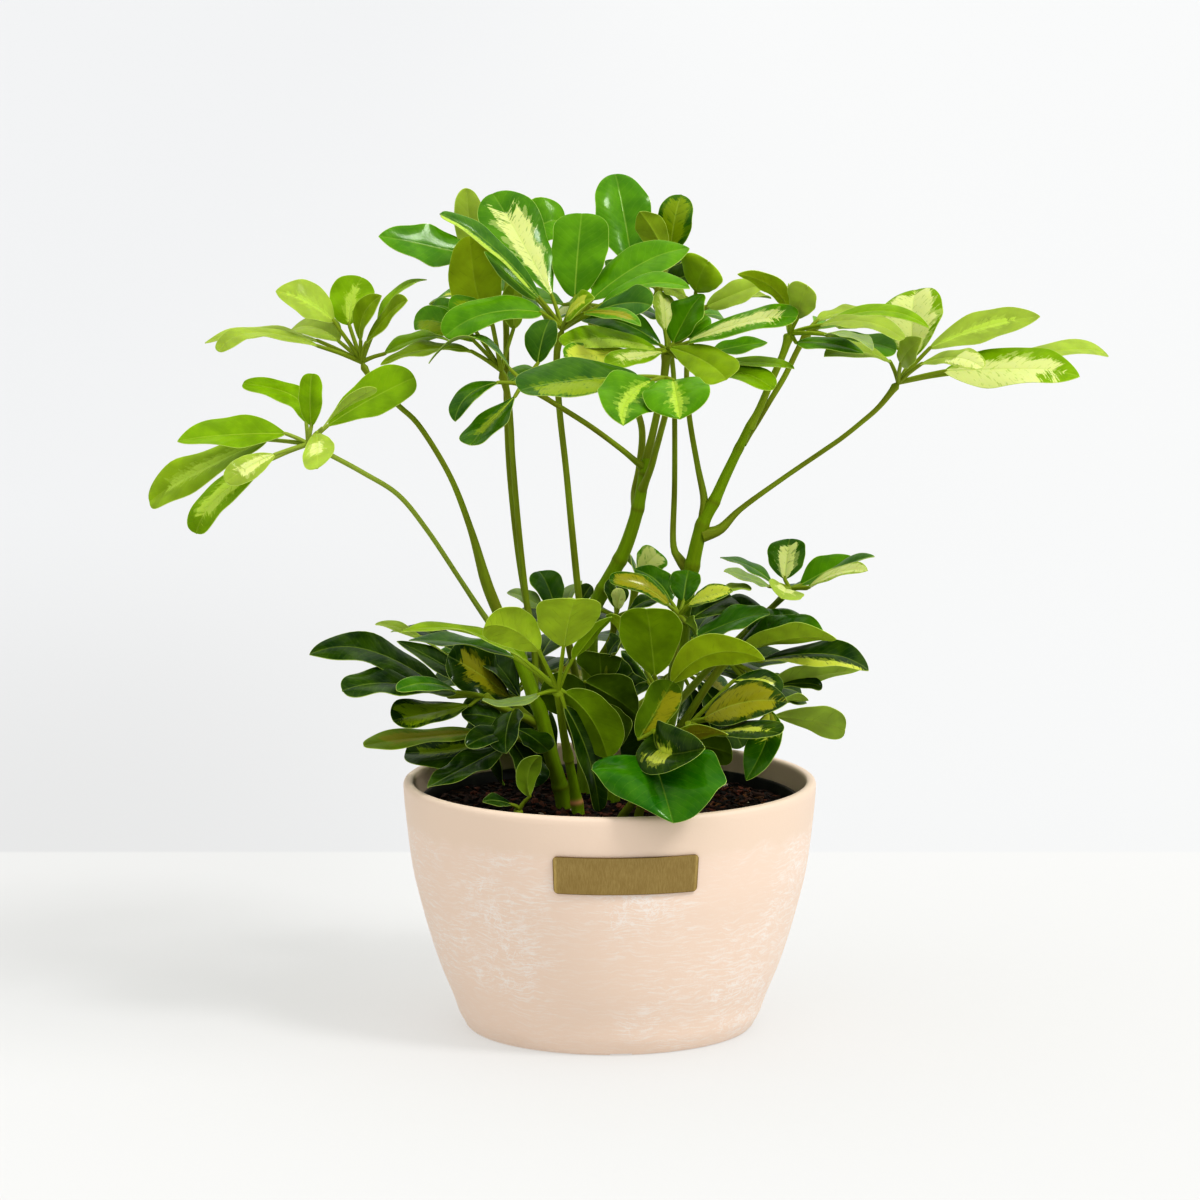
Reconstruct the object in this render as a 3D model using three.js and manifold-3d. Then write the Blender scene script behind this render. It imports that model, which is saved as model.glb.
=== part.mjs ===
// Potted umbrella plant: a dwarf umbrella tree with variegated leaves, in a marbled bowl planter.
// Millimetres, +Z up. The origin is the middle of the planter's underside, and the plaque faces -Y.
import * as THREE from 'three';
import Module from 'manifold-3d';
import { mergeVertices } from 'three/addons/utils/BufferGeometryUtils.js';

const wasm = await Module();
wasm.setup();

// ---------------------------------------------------------------- driving dimensions

const POT = {
  outline: [[67, 0], [70, 1.5], [76.3, 16], [82.3, 31], [91.3, 60.5], [96.8, 87], [99.3, 110.5],
    [99.9, 116.5]],
  rim: [[99.4, 120.3], [97.2, 121], [95.2, 120.2]],
  wall: 5,
  floor: 6,
  heel: 2,
  innerTop: 115,
  sides: 40,
  recess: { inner: 15, outer: 59, depth: 1.2 },
  notch: { width: 10.7, depth: 1, count: 4 },
};
const PLAQUE = { arc: 68.8, bottom: 83.8, top: 102, thick: 1.3, corner: 2.5, steps: 16 };
const LINER = {
  topRadius: 90.8, top: 111, bottomRadius: 63, bottom: 6.8, waist: 60, wall: 1.4,
  lip: { proud: 1.6, height: 5 },
  sides: 36,
};
const SOIL = {
  top: 106, bottom: 14, waist: 60, edgeDrop: 2,
  bank: { width: 6, rise: 1.2 },
  dish: { radius: 40, rise: 0.4 },
  sides: 36,
};
// What pieces keep between them where they rest on or in each other.
const GAP = 0.4;

// The plant is described from the front: u to the right and v up in a plane that faces the viewer
// through the origin, y the depth behind that plane's foot. The viewer stands at EYE, looks down by
// PITCH, and is turned by TURN from the plaque.
const EYE = new THREE.Vector3(-4.7, -2500, 596);
const PITCH = THREE.MathUtils.degToRad(8.815);
const TURN = THREE.MathUtils.degToRad(-4.5);
const UP = new THREE.Vector3(0, Math.sin(PITCH), Math.cos(PITCH));

const CANE = { sides: 8, stepsPerPoint: 1.6, fewestSteps: 5 };
const PETIOLE = { sides: 4, stepsPerPoint: 1.3, fewestSteps: 3 };
// A leaflet's thickness falls by the share taper towards its tip, its middle line rises by the share
// arch of its length where no point gives it, and its halves lift by fold degrees.
const LEAF = { thick: 1.3, taper: 0.45, arch: 0.06, fold: 9, rings: [0.2, 0.5, 0.82], stalk: 1.1, hub: 2.6 };
// How far a surface may move where needless triangles are taken off it.
const SETTLE = { pot: 0.02, leaf: 0.1 };

const LOOK = {
  planter: { color: '#e9d5c4', roughness: 0.55, metalness: 0 },
  plaque: { color: '#8a7440', roughness: 0.4, metalness: 0.8 },
  liner: { color: '#1b1c1b', roughness: 0.6, metalness: 0 },
  soil: { color: '#2c1c12', roughness: 0.95, metalness: 0 },
  stem: { color: '#7d8f2a', roughness: 0.5, metalness: 0 },
  leafBright: { color: '#6fa01d', roughness: 0.35, metalness: 0 },
  leafDark: { color: '#2c5a12', roughness: 0.35, metalness: 0 },
};

// ---------------------------------------------------------------- the plant's own tables

// cane(name, radii, path): a woody stem from the soil up. Points are [u, v, y].
const CANES = [
  cane('cane_left', [3.9, 3.2], [[-21, 94, 5], [-23.5, 112, 3], [-28.5, 130, -1], [-33.5, 150, -2],
    [-38.5, 163, -2], [-46, 183, 1], [-52, 196, 4]]),
  cane('cane_centre', [4.6, 2.4], [[3, 94, 20], [-3, 130, 21], [-9, 165, 21], [-9, 196, 18],
    [-3, 211, 15], [6.2, 228, 12], [11.7, 243, 10], [14.7, 255, 9], [16.9, 268, 8], [18.5, 277, 7]]),
  cane('cane_right', [4.9, 1.8], [[17, 94, 0], [24, 130, 3], [32, 165, 4], [37, 205, 3], [40.6, 224, 2],
    [45, 242, 1], [51, 254, 0], [56.4, 266, 0], [63.6, 281, -2], [69.2, 293, -4]]),
  cane('cane_front', [3.4, 1.9], [[-14, 92, -11], [-16, 107, -10], [-18, 118, -12], [-20.5, 131, -16]]),
  cane('cane_back', [4.6, 3.4], [[-14, 92, 34], [-12, 120, 44], [-13, 146, 56]]),
];

// frond(name, tone, hub, petiole, blades): one compound leaf. The petiole runs from the hub down to
// what carries it, as [u, v, y, radius] points.
// blade(tip, base, width, turn, outline, shape): one leaflet. turn is the angle of its upper face
// from the viewer: 0 faces the viewer, 90 faces up or out, and 180 shows the underside. shear slides
// the leaflet's sides along it by that share of their distance from its rib.
const FRONDS = [
  frond('leaf_far_left', 'bright', [-147, 282, -25],
    [[-137, 277, -24, 1.2], [-120, 267.8, -21, 1.2], [-103, 257, -17, 1.2], [-88.8, 239.6, -12, 1.2],
      [-73.2, 216.2, -7, 1.2], [-62, 199.3, -3, 1.4], [-52.3, 186, 1, 1.8]], [
      blade([-211, 284, -34], [-158, 287], 24, 52, 'pointed', { via: [-185, 286.3] }),
      blade([-225, 254, -10], [-167, 284], 25.5, 52, 'strap', { via: [-200, 269] }),
      blade([-203.5, 240, -48], [-166, 274], 19, 48, 'strap', { via: [-189, 258] }),
      blade([-187, 264, -62], [-163, 277], 13, 20, 'obovate'),
      blade([-179, 311, 0], [-148, 292.5], 14, 38, 'strap', { via: [-154.5, 305.3] }),
      blade([-145.5, 316.5, -26], [-145.5, 291], 12, 20, 'strap'),
      blade([-95, 314.3, -18], [-138, 290.5], 25, 38, 'obovate', { via: [-117.5, 303.3] }),
      blade([-114, 309, -42], [-141, 289], 11, 125, 'spoon', { via: [-129, 301] }),
      blade([-142.5, 270, -70], [-143, 287.5], 15, 8, 'obovate', { shear: 0.75 }),
    ]),
  frond('leaf_high_left', 'bright', [-121, 322, 12],
    [[-117, 315, 11, 1.3], [-103.6, 301.3, 10, 1.3], [-92.7, 290.6, 9, 1.3], [-78, 266.5, 7, 1.35],
      [-68, 241, 5, 1.6], [-61, 217, 5, 2.7], [-57, 206, 5, 2.8], [-51, 192, 4, 2.6]], [
      blade([-198, 333.1, 18], [-142, 332.2], 19, 75, 'pointed', { via: [-169, 335.9] }),
      blade([-192, 329.2, -14], [-142, 329.7], 13, 65, 'strap', { via: [-172, 336.2] }),
      blade([-158, 337, 45], [-132, 332], 24, 62, 'pointed', { via: [-145, 339] }),
      blade([-162.5, 357.5, 4], [-134.5, 341.5], 22, 44, 'pointed', { via: [-147, 351] }),
      blade([-121, 363.5, 34], [-127, 340], 22.5, 22, 'round', { via: [-126, 351.4] }),
      blade([-111.5, 354.5, 2], [-121.5, 332], 13.5, 50, 'pointed', { via: [-120, 345] }),
      blade([-100, 352.5, -16], [-119, 331], 15, 64, 'pointed', { via: [-108, 345] }),
      blade([-90, 364.5, 36], [-113, 341], 11, 70, 'pointed', { via: [-104.5, 354.8] }),
      blade([-77, 333.5, 22], [-110, 326], 18, 72, 'pointed', { via: [-93, 333.3] }),
    ]),
  frond('leaf_centre_left', 'bright', [-53, 318, 0],
    [[-49.6, 305, 0, 1.5], [-48.1, 290, 1, 1.35], [-47.3, 275, 1, 1.35], [-44.3, 240, 3, 1.4],
      [-40.3, 203, 6, 1.55], [-36.5, 180, 6, 1.65], [-36.8, 160, 2, 1.8]], [
      blade([-112, 321, -4], [-67, 327], 20, 74, 'pointed', { via: [-89, 328] }),
      blade([-67, 383, 20], [-57, 340], 27, 163, 'round', { via: [-65, 358] }),
      blade([-46, 362, 30], [-47, 338], 13, 150, 'pointed'),
      blade([-96, 342, 10], [-66, 332], 18, 48, 'strap', { via: [-82, 341] }),
      blade([-88, 349.5, 30], [-65, 336.5], 12, 40, 'obovate', { via: [-77, 347.5] }),
      blade([-78, 347.5, -10], [-58, 343], 14, 52, 'obovate', { via: [-68, 348.5] }),
      blade([-32, 318, 60], [-49, 312], 14, 60, 'pointed'),
    ]),
  frond('leaf_back_left', 'bright', [-52, 350, 50],
    [[-50.5, 340, 42, 1.5], [-50.3, 300, 26, 1.4], [-48.3, 262, 16, 1.4], [-42.5, 215, 14, 1.5],
      [-33, 175, 16, 1.8], [-20, 146, 30, 2], [-15, 134, 44, 2.2]], [
      blade([-112, 384.5, 30], [-64, 373.5], 23.5, 40, 'pointed', { via: [-88.5, 378.5] }),
      blade([-68.5, 406.5, 50], [-61, 370], 19, 32, 'round', { via: [-68, 388] }),
      blade([-21, 391, 66], [-49, 366], 26, 30, 'obovate', { via: [-36, 386.5] }),
      blade([-62, 372, 100], [-56, 356], 24, 70, 'obovate'),
      blade([-88, 352, 82], [-62, 353], 22, 74, 'pointed'),
      blade([-30, 345, 95], [-46, 350], 22, 72, 'obovate'),
    ]),
  frond('leaf_top_centre', 'bright', [-23, 338, -8],
    [[-25.8, 325, -8, 1.6], [-24.6, 300, -6, 1.5], [-21.3, 270, -3, 1.5], [-18.4, 240, 1, 1.6],
      [-15.2, 209, 6, 1.7], [-12, 185, 14, 1.8], [-9, 172, 20, 2]], [
      blade([-57, 404.5, 22], [-28, 354], 31, 32, 'obovate', { via: [-42.5, 380] }),
      blade([-13.5, 394.5, 22], [-17, 353.5], 28, 8, 'strap'),
      blade([39, 379, 14], [-9, 352], 26, 46, 'pointed', { via: [14, 369] }),
      blade([39, 357.5, -22], [-4, 350], 19, 68, 'pointed', { via: [18, 360] }),
      blade([-82, 395, -14], [-34, 353], 13, 56, 'strap', { via: [-57, 378], fold: 18 }),
      blade([-81, 337, -34], [-33, 346], 21, 48, 'strap', { via: [-57, 346] }),
      blade([-9, 354, -44], [-21, 343], 14, 60, 'pointed'),
      blade([20, 350, -40], [-8, 346], 17, 42, 'obovate', { via: [7, 350.5] }),
      blade([15, 341, -62], [-13, 345.5], 10, 55, 'pointed', { via: [2, 345.5] }),
      blade([-60, 377, 2], [-35, 352], 14, 50, 'pointed', { via: [-48, 363] }),
    ]),
  frond('leaf_drooping_left', 'dark', [-42, 311, -44],
    [[-29, 303, -36, 1.25], [-10, 291, -22, 1.3], [5, 280, -9, 1.35], [12, 274.2, 2, 1.5],
      [16.5, 270.8, 8, 1.8]], [
      blade([-90, 323, -34], [-48, 318], 19, 86, 'pointed', { via: [-67, 334] }),
      blade([-75.5, 293, -60], [-54, 312], 15, 56, 'pointed', { via: [-69, 305.5] }),
      blade([-68.5, 282.5, -74], [-46, 305.5], 20, 50, 'notched', { via: [-57, 293.5] }),
      blade([-29.5, 343, -34], [-35, 321.5], 17, 30, 'round'),
    ]),
  frond('leaf_centre', 'bright', [28, 327, 6],
    [[26, 310, 6, 1.7], [23.6, 299, 6, 1.7], [21, 287, 6.5, 1.8], [18.5, 277, 7, 2],
      [17, 270, 8, 2.2]], [
      blade([45, 356, 14], [31, 331], 23, 48, 'pointed', { via: [38, 345] }),
      blade([91, 345, -28], [38, 331.5], 19, 58, 'strap', { via: [65, 341] }),
      blade([56.8, 314, -32], [29, 329], 21, 30, 'blunt', { via: [45, 323] }),
      blade([-14, 344, 12], [25, 330], 19, 52, 'pointed', { via: [6, 341] }),
      blade([-23, 331.5, -32], [23, 328], 18, 58, 'strap', { via: [0, 333.5] }),
      blade([-22, 325, -46], [17, 325.5], 16, 50, 'obovate', { via: [-2, 325.5] }),
      blade([0, 323, -54], [26, 327], 12, 45, 'obovate', { via: [13, 324.5] }),
      blade([25, 357, 22], [27, 337], 15, 40, 'pointed'),
      blade([49, 344, 12], [37, 334], 15, 40, 'pointed'),
      blade([77, 332, 14], [50, 327], 15, 58, 'pointed', { via: [63, 329.5] }),
      blade([90, 320, -20], [46, 321], 12, 68, 'pointed', { via: [72, 321.5] }),
      blade([80, 311, -26], [42, 319], 16, 55, 'strap', { via: [62, 317] }),
    ]),
  frond('leaf_front_centre_top', 'bright', [27, 314, -60],
    [[27.5, 305, -47, 1.6], [27.5, 298, -37, 1.5], [25, 288, -23, 1.5], [22.5, 279, -11, 1.6],
      [20, 270, -3, 1.7], [16, 260, 7, 1.9]], [
      blade([-44, 309, -88], [14, 315], 30, 55, 'strap', { via: [-16, 313] }),
      blade([6.8, 291.6, -104], [21, 313], 31, 16, 'pointed', { via: [8.5, 303], fold: 24 }),
      blade([34.3, 294.5, -100], [31, 313], 31, 4, 'obovate', { fold: 26 }),
    ]),
  frond('leaf_top_back', 'bright', [22, 352, 56],
    [[28, 335, 46, 1.2], [31, 318, 36, 1.2], [31.7, 296, 26, 1.25], [31.7, 262, 15, 1.3],
      [31, 234, 8, 1.5], [34, 226, 6, 2.2], [39, 220, 3, 2.7]], [
      blade([3.2, 414.5, 84], [11.5, 368], 28.2, 14, 'round', { via: [7.5, 391] }),
      blade([34.5, 404, 62], [29.5, 374], 18.5, 20, 'round'),
      blade([14.5, 396, 48], [27, 376], 15, 160, 'pointed'),
      blade([40, 365, 34], [26, 358], 16, 35, 'obovate'),
      blade([33, 374, 88], [27, 362], 16, 40, 'obovate'),
      blade([-2, 372, 62], [13, 357], 13, 40, 'pointed'),
      blade([30, 350, 112], [25, 352], 24, 80, 'obovate'),
      blade([-4, 345, 74], [12, 351], 18, 76, 'pointed'),
    ]),
  frond('leaf_right_of_centre', 'bright', [42, 346, 30],
    [[40, 332, 26, 1.25], [37.6, 318, 22, 1.25], [38.8, 296, 14, 1.3], [42.8, 272, 6, 1.4],
      [46, 256, 2, 1.8], [46, 246, 1, 2.2]], [
      blade([47.5, 371.2, 14], [42, 356], 24, 25, 'notched'),
      blade([78, 361.5, 20], [47, 349], 17, 48, 'pointed', { via: [61, 355] }),
      blade([79, 354, 42], [51, 349.5], 17, 80, 'pointed', { via: [65, 353.5] }),
      blade([26, 358, 22], [38, 353], 13, 55, 'obovate'),
      blade([58, 340, 78], [46, 345], 20, 72, 'obovate'),
    ]),
  frond('leaf_right', 'bright', [88, 336, -6],
    [[84.3, 325, -6, 1.7], [78.6, 312, -5.5, 1.7], [73, 299, -4.5, 1.8], [68.3, 290, -3, 1.9]], [
      blade([62.5, 366.3, -14], [87.5, 347], 12.5, 135, 'pointed', { via: [79.5, 358.6] }),
      blade([96.3, 359, -30], [91.5, 343], 16, 25, 'notched'),
      blade([144, 336, -36], [103, 340], 17, 66, 'strap', { via: [122, 341.8] }),
      blade([129, 329.5, -56], [105, 335.5], 14, 76, 'pointed'),
      blade([124, 326.5, -40], [91, 331.5], 15, 62, 'pointed', { via: [106, 331] }),
      blade([86, 352, 44], [87, 342], 22, 66, 'obovate'),
    ]),
  frond('leaf_right_back', 'bright', [97, 337, 16],
    [[91.8, 328, 15, 1.4], [85.4, 315, 12, 1.4], [78.5, 303.5, 9, 1.35], [71.3, 291.5, 5, 1.35],
      [67.6, 286, 1, 1.45], [65, 282, -2, 1.5]], [
      blade([157, 340.5, 4], [104, 340], 14, 66, 'pointed', { via: [131, 346.8] }),
      blade([129, 349, 32], [101, 342], 15, 72, 'pointed', { via: [114, 346.5] }),
      blade([140, 329, 10], [108, 334.5], 20, 62, 'strap', { via: [125, 331.5] }),
      blade([112, 338, 70], [101, 338], 22, 74, 'obovate'),
    ]),
  frond('leaf_far_right', 'bright', [141, 312, 12],
    [[131.5, 300.2, 11, 1.3], [122.2, 292, 10, 1.2], [113.3, 284.9, 9, 1.2], [104.5, 278.8, 8, 1.2],
      [85, 265.5, 6, 1.2], [64, 250.3, 4, 1.4], [54, 240.5, 2, 2.5], [45, 237.5, 1, 3]], [
      blade([149, 358.7, 44], [148, 324], 32, 22, 'round'),
      blade([210, 344.5, 6], [156, 328.5], 22, 50, 'pointed', { via: [182, 338.7] }),
      blade([244.5, 326.5, 24], [172, 317], 19.5, 68, 'pointed', { via: [219, 327.2] }),
      blade([228.5, 318.5, -24], [163, 317.5], 29, 48, 'pointed', { via: [197.5, 318.6] }),
      blade([181, 322, -44], [152, 321], 13, 58, 'strap', { via: [166, 324] }),
      blade([105, 326, -26], [137, 322], 19, 66, 'pointed', { via: [122, 327] }),
      blade([152, 333.5, -34], [142, 321], 13, 30, 'pointed'),
    ]),
  frond('leaf_low_left_outer', 'dark', [-62, 159, -14],
    [[-52, 153, -11, 1.8], [-36, 146, -1, 2]], [
      blade([-147, 182.8, -24], [-78, 158.5], 23.5, 54, 'pointed', { via: [-113, 179.8] }),
      blade([-129.5, 164.8, -48], [-75, 160.5], 22, 60, 'strap', { via: [-103, 164.8] }),
      blade([-103, 163, -70], [-74, 161], 10, 48, 'obovate', { via: [-88, 165] }),
      blade([-105.5, 147.7, -40], [-68, 154.5], 23, 55, 'obovate', { via: [-87, 150.8] }),
    ]),
  frond('leaf_low_left_inner', 'dark', [-53, 143, -10],
    [[-46, 139, -7, 1.8], [-32, 133, 0, 2]], [
      blade([-120, 135.5, -26], [-63, 141], 19, 64, 'strap', { via: [-92, 138.7] }),
      blade([-99.5, 133, -8], [-59, 138], 26, 50, 'strap', { via: [-80, 132] }),
      blade([-89, 114.5, -44], [-52, 134], 20, 52, 'pointed', { via: [-69, 125] }),
      blade([-69, 136, -52], [-46, 141], 12, 40, 'obovate'),
      blade([-51, 131.5, -48], [-47, 152], 20, 40, 'pointed'),
      blade([-58, 121, 32], [-55, 138], 24, 42, 'obovate'),
      blade([-72, 150, -20], [-50, 146], 22, 50, 'obovate'),
      blade([-36, 115, -30], [-49, 138], 20, 44, 'obovate'),
      blade([-30, 132, -22], [-46, 143], 20, 58, 'obovate'),
    ]),
  frond('leaf_mid_left', 'dark', [-48, 158, 14],
    [[-43, 152, 10, 1.8], [-34, 144, 2, 2]], [
      blade([-79, 178.5, 0], [-49, 158], 28, 35, 'obovate'),
      blade([-103, 187, 16], [-60, 163], 17, 52, 'pointed', { via: [-81, 174] }),
      blade([-114, 196, 26], [-76, 177.5], 11, 60, 'spoon', { via: [-97, 189.5] }),
      blade([-107, 192, 40], [-68, 178], 16, 62, 'pointed', { via: [-86, 189] }),
      blade([-62, 181, 20], [-44, 158], 26, 60, 'obovate'),
      blade([-29, 143, 50], [-41, 157], 22, 60, 'obovate'),
      blade([-26, 178, 46], [-41, 164], 24, 56, 'obovate'),
    ]),
  frond('leaf_front_whorl', 'bright', [-25, 162, -44],
    [[-24, 152, -34, 1.9], [-22.5, 141, -24, 1.9], [-20.5, 131, -16.5, 2.2], [-20, 128, -15, 2.2]], [
      blade([-102, 190, -50], [-41, 176], 20, 78, 'pointed', { via: [-71, 190.5] }),
      blade([-98, 186, -24], [-46, 177.5], 21, 76, 'pointed', { via: [-71, 184.5] }),
      blade([-62, 194.5, -80], [-34.5, 181], 22, 160, 'round', { via: [-47, 191.5] }),
      blade([-17, 206.5, -82], [-22.5, 183], 31, 165, 'round'),
      blade([0, 199, -58], [-18, 177], 14, 118, 'pointed', { via: [-10, 187] }),
      blade([-1, 129, -42], [-22, 161], 23, 158, 'round', { via: [-9, 148] }),
      blade([-5, 103, -38], [-22, 154], 15, 40, 'strap', { via: [-11, 131] }),
      blade([-62, 157, -56], [-34, 160], 9, 62, 'strap', { via: [-48, 155.5] }),
    ]),
  frond('leaf_front_right_whorl', 'bright', [25, 157, -48],
    [[23, 142, -43, 1.9], [21, 122, -34, 2], [15, 104, -24, 2.2], [13, 94, -22, 2.2]], [
      blade([18, 202.5, -80], [22, 169], 30, 172, 'round'),
      blade([76, 177, -74], [30, 165], 19, 145, 'pointed', { via: [50, 180] }),
      blade([-1, 200, -50], [18, 171], 13, 120, 'pointed', { via: [8, 190] }),
      blade([6, 182, -38], [19, 166], 11, 45, 'pointed'),
    ]),
  frond('leaf_front_low', 'dark', [23, 142, -70],
    [[21, 130, -58, 1.9], [16, 114, -44, 2], [6, 100, -33, 2.1], [4, 94, -30, 2.1]], [
      blade([30, 166.5, -66], [14, 138], 18, 160, 'strap', { via: [23, 153] }),
      blade([44, 134.5, -112], [22, 141], 25, 5, 'round', { via: [27, 131], fold: 30 }),
      blade([31, 97.5, -112], [22, 128], 60, 0, 'broad', { fold: 16, shear: -0.4 }),
    ]),
  frond('leaf_front_right', 'dark', [40, 146, -36],
    [[34, 132, -28, 1.9], [28, 114, -19, 2.1], [26, 94, -16, 2.2]], [
      blade([86, 157, -64], [46, 148], 25, 40, 'pointed', { via: [64, 155.5] }),
      blade([83, 141.5, -88], [48, 140.5], 17, 58, 'obovate', { via: [66, 142.5] }),
      blade([84, 161, -40], [60, 166], 17, 45, 'obovate', { via: [73, 166] }),
      blade([66, 118.5, -64], [78, 152], 18, 30, 'pointed', { via: [76, 136] }),
      blade([60, 131, -50], [36, 136], 18, 150, 'obovate'),
      blade([58, 140.5, -74], [32, 137], 15, 118, 'pointed', { via: [45, 141.5] }),
    ]),
  frond('leaf_right_whorl', 'dark', [57, 177, -10],
    [[47, 163, -10, 1.9], [36, 146, -5, 2], [26, 134, 3, 2]], [
      blade([105, 191.5, -18], [62, 182.5], 23, 62, 'pointed', { via: [84, 192] }),
      blade([111, 187.5, -46], [64, 181], 20, 118, 'pointed', { via: [88, 187.5] }),
      blade([127, 174, -30], [74, 176], 23, 60, 'pointed', { via: [103, 179.5] }),
      blade([122, 172, -8], [74, 163], 17, 122, 'pointed', { via: [99, 169] }),
      blade([104, 164, -12], [82, 164], 9, 55, 'obovate', { via: [94, 165] }),
      blade([78, 200, -27], [40, 186.5], 22, 60, 'pointed', { via: [61, 195.5] }),
      blade([77, 202, 2], [50, 194], 21, 62, 'pointed', { via: [64, 202] }),
      blade([98, 197, 20], [67, 190], 19, 62, 'pointed', { via: [83, 197] }),
      blade([115.3, 143.3, -24], [80, 149.5], 21, 132, 'notched', { via: [98, 147.3] }),
      blade([97, 157, 10], [81, 156], 9, 112, 'pointed'),
      blade([72, 170, 56], [62, 174], 22, 76, 'obovate'),
      blade([95, 160, 26], [72, 163], 20, 48, 'obovate'),
    ]),
  frond('leaf_small_centre', 'bright', [34, 198, -22],
    [[33, 188, -18, 1.5], [31, 172, -12, 1.6], [28, 156, -4, 1.8], [27, 146, 3, 1.8]], [
      blade([38.5, 220.5, -8], [36, 205], 15, 12, 'round'),
      blade([0, 216, -28], [29, 203], 12, 46, 'strap', { via: [16, 212.5] }),
      blade([12, 221, -6], [30, 205], 16, 40, 'pointed', { via: [23, 215] }),
      blade([60, 210, -34], [38, 203], 13, 52, 'pointed', { via: [49, 208.3] }),
      blade([69, 213, -6], [44, 208], 10, 66, 'spoon', { via: [57, 211.2] }),
      blade([43, 189, -50], [37, 195], 11, 120, 'pointed'),
      blade([60, 208, 6], [39, 196], 20, 35, 'obovate', { via: [50, 203] }),
    ]),
  frond('leaf_small_right', 'bright', [88, 211, 6],
    [[80, 203, 22, 1.5], [66, 190, 30, 1.6], [50, 174, 26, 1.8], [38, 161, 16, 1.9],
      [30, 152, 4, 1.9]], [
      blade([87.8, 236, 20], [85.5, 216], 19, 8, 'round'),
      blade([54, 226.8, 12], [79, 214.5], 15, 72, 'pointed', { via: [68, 222.3] }),
      blade([56, 220.3, -12], [78, 212.5], 13, 70, 'pointed', { via: [67, 216.8] }),
      blade([84, 207, -34], [86, 211], 18, 0, 'round'),
      blade([119, 226.5, 14], [93, 213], 18, 50, 'pointed', { via: [106, 220] }),
      blade([128, 229, -8], [96, 211.5], 14, 76, 'pointed', { via: [114, 221.5] }),
      blade([126, 220, -24], [97, 212], 12, 64, 'pointed', { via: [112, 219.3] }),
      blade([92, 213.5, 36], [90, 212], 14, 70, 'obovate'),
    ]),
  frond('leaf_low_back_left', 'dark', [-22, 197, 44],
    [[-20, 185, 44, 1.8], [-15, 160, 50, 2], [-13, 143, 54, 2]], [
      blade([-34, 220.6, 56], [-26, 200], 17.5, 28, 'obovate'),
      blade([-50, 210, 44], [-33, 202], 14, 58, 'pointed'),
      blade([-16, 214, 66], [-21, 203], 13, 55, 'obovate'),
      blade([-9, 213, 40], [-14, 204], 9, 35, 'obovate'),
      blade([-58, 192, 66], [-30, 196], 22, 68, 'pointed'),
      blade([-16, 192, 92], [-20, 195], 24, 66, 'obovate'),
      blade([6, 198, 66], [-13, 198], 20, 66, 'pointed'),
    ]),
  frond('leaf_tiny_centre', 'dark', [3, 197, 2],
    [[1, 188, 8, 1.5], [-4, 178, 16, 1.6]], [
      blade([2, 216, 10], [3, 202], 14, 35, 'round'),
      blade([6, 211, -8], [4, 201], 8, 30, 'obovate'),
      blade([-21, 204, -6], [-4, 201], 11, 68, 'spoon'),
      blade([23, 207, 12], [9, 200], 11, 55, 'obovate'),
    ]),
  frond('leaf_back_variegated', 'bright', [13, 214, 34],
    [[10, 200, 32, 1.5], [4, 184, 28, 1.6], [-3, 174, 24, 1.6]], [
      blade([24.5, 229.7, 42], [14, 219], 17, 22, 'obovate'),
      blade([31, 215, 52], [18, 214], 10, 66, 'pointed'),
      blade([12, 222, 82], [13, 217], 20, 60, 'obovate'),
      blade([38, 208, 70], [17, 213], 18, 70, 'pointed'),
    ]),
  frond('leaf_shaded_centre', 'dark', [-2, 161, -8],
    [[-2, 150, 0, 1.8], [-4, 142, 12, 2]], [
      blade([-5, 180, -16], [-4, 164], 22, 168, 'notched'),
      blade([14, 150, -22], [-12, 166], 26, 150, 'round'),
      blade([5, 187, -16], [-1, 178], 13, 60, 'obovate'),
      blade([8, 136, -24], [-4, 156], 18, 140, 'obovate'),
      blade([-34, 160, -4], [-8, 158], 24, 150, 'round'),
      blade([20, 176, -6], [2, 162], 22, 40, 'obovate'),
    ]),
  frond('leaf_by_the_soil', 'bright', [-44, 104, -56],
    [[-47, 96, -52, 1.4], [-49, 90, -50, 1.4]], [
      blade([-35, 131, -66], [-39, 110], 13, 148, 'round', { via: [-40, 121] }),
      blade([-62, 108, -62], [-48, 106], 11, 60, 'pointed'),
    ]),
  frond('leaf_behind_left', 'dark', [-38, 172, 84],
    [[-28, 162, 76, 1.9], [-15, 145, 60, 2.2]], [
      blade([-88, 163, 84], [-50, 172], 24, 62, 'obovate'),
      blade([-70, 150, 116], [-46, 170], 24, 70, 'obovate'),
      blade([-32, 150, 132], [-36, 167], 25, 66, 'obovate'),
      blade([-4, 163, 120], [-27, 171], 24, 64, 'pointed'),
      blade([-45, 186, 118], [-40, 175], 24, 60, 'pointed'),
      blade([-84, 180, 100], [-50, 175], 22, 60, 'pointed'),
      blade([-66, 127, 62], [-43, 165], 26, 34, 'obovate'),
      blade([-38, 124, 74], [-38, 164], 27, 28, 'obovate'),
      blade([-24, 191, 112], [-34, 177], 20, 44, 'obovate'),
    ]),
  frond('leaf_behind_right', 'dark', [34, 172, 80],
    [[22, 160, 74, 1.9], [2, 146, 64, 2.1], [-11, 140, 56, 2.2]], [
      blade([78, 163, 84], [46, 172], 24, 62, 'obovate'),
      blade([62, 148, 116], [42, 170], 24, 70, 'obovate'),
      blade([22, 148, 130], [31, 167], 25, 66, 'obovate'),
      blade([36, 187, 120], [34, 176], 24, 58, 'pointed'),
      blade([74, 184, 106], [46, 176], 22, 60, 'pointed'),
      blade([46, 122, 66], [38, 165], 28, 30, 'obovate'),
      blade([14, 122, 78], [30, 164], 28, 30, 'obovate'),
      blade([65, 134, 66], [42, 167], 22, 40, 'obovate'),
      blade([-8, 191, 126], [25, 176], 24, 56, 'obovate'),
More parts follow.
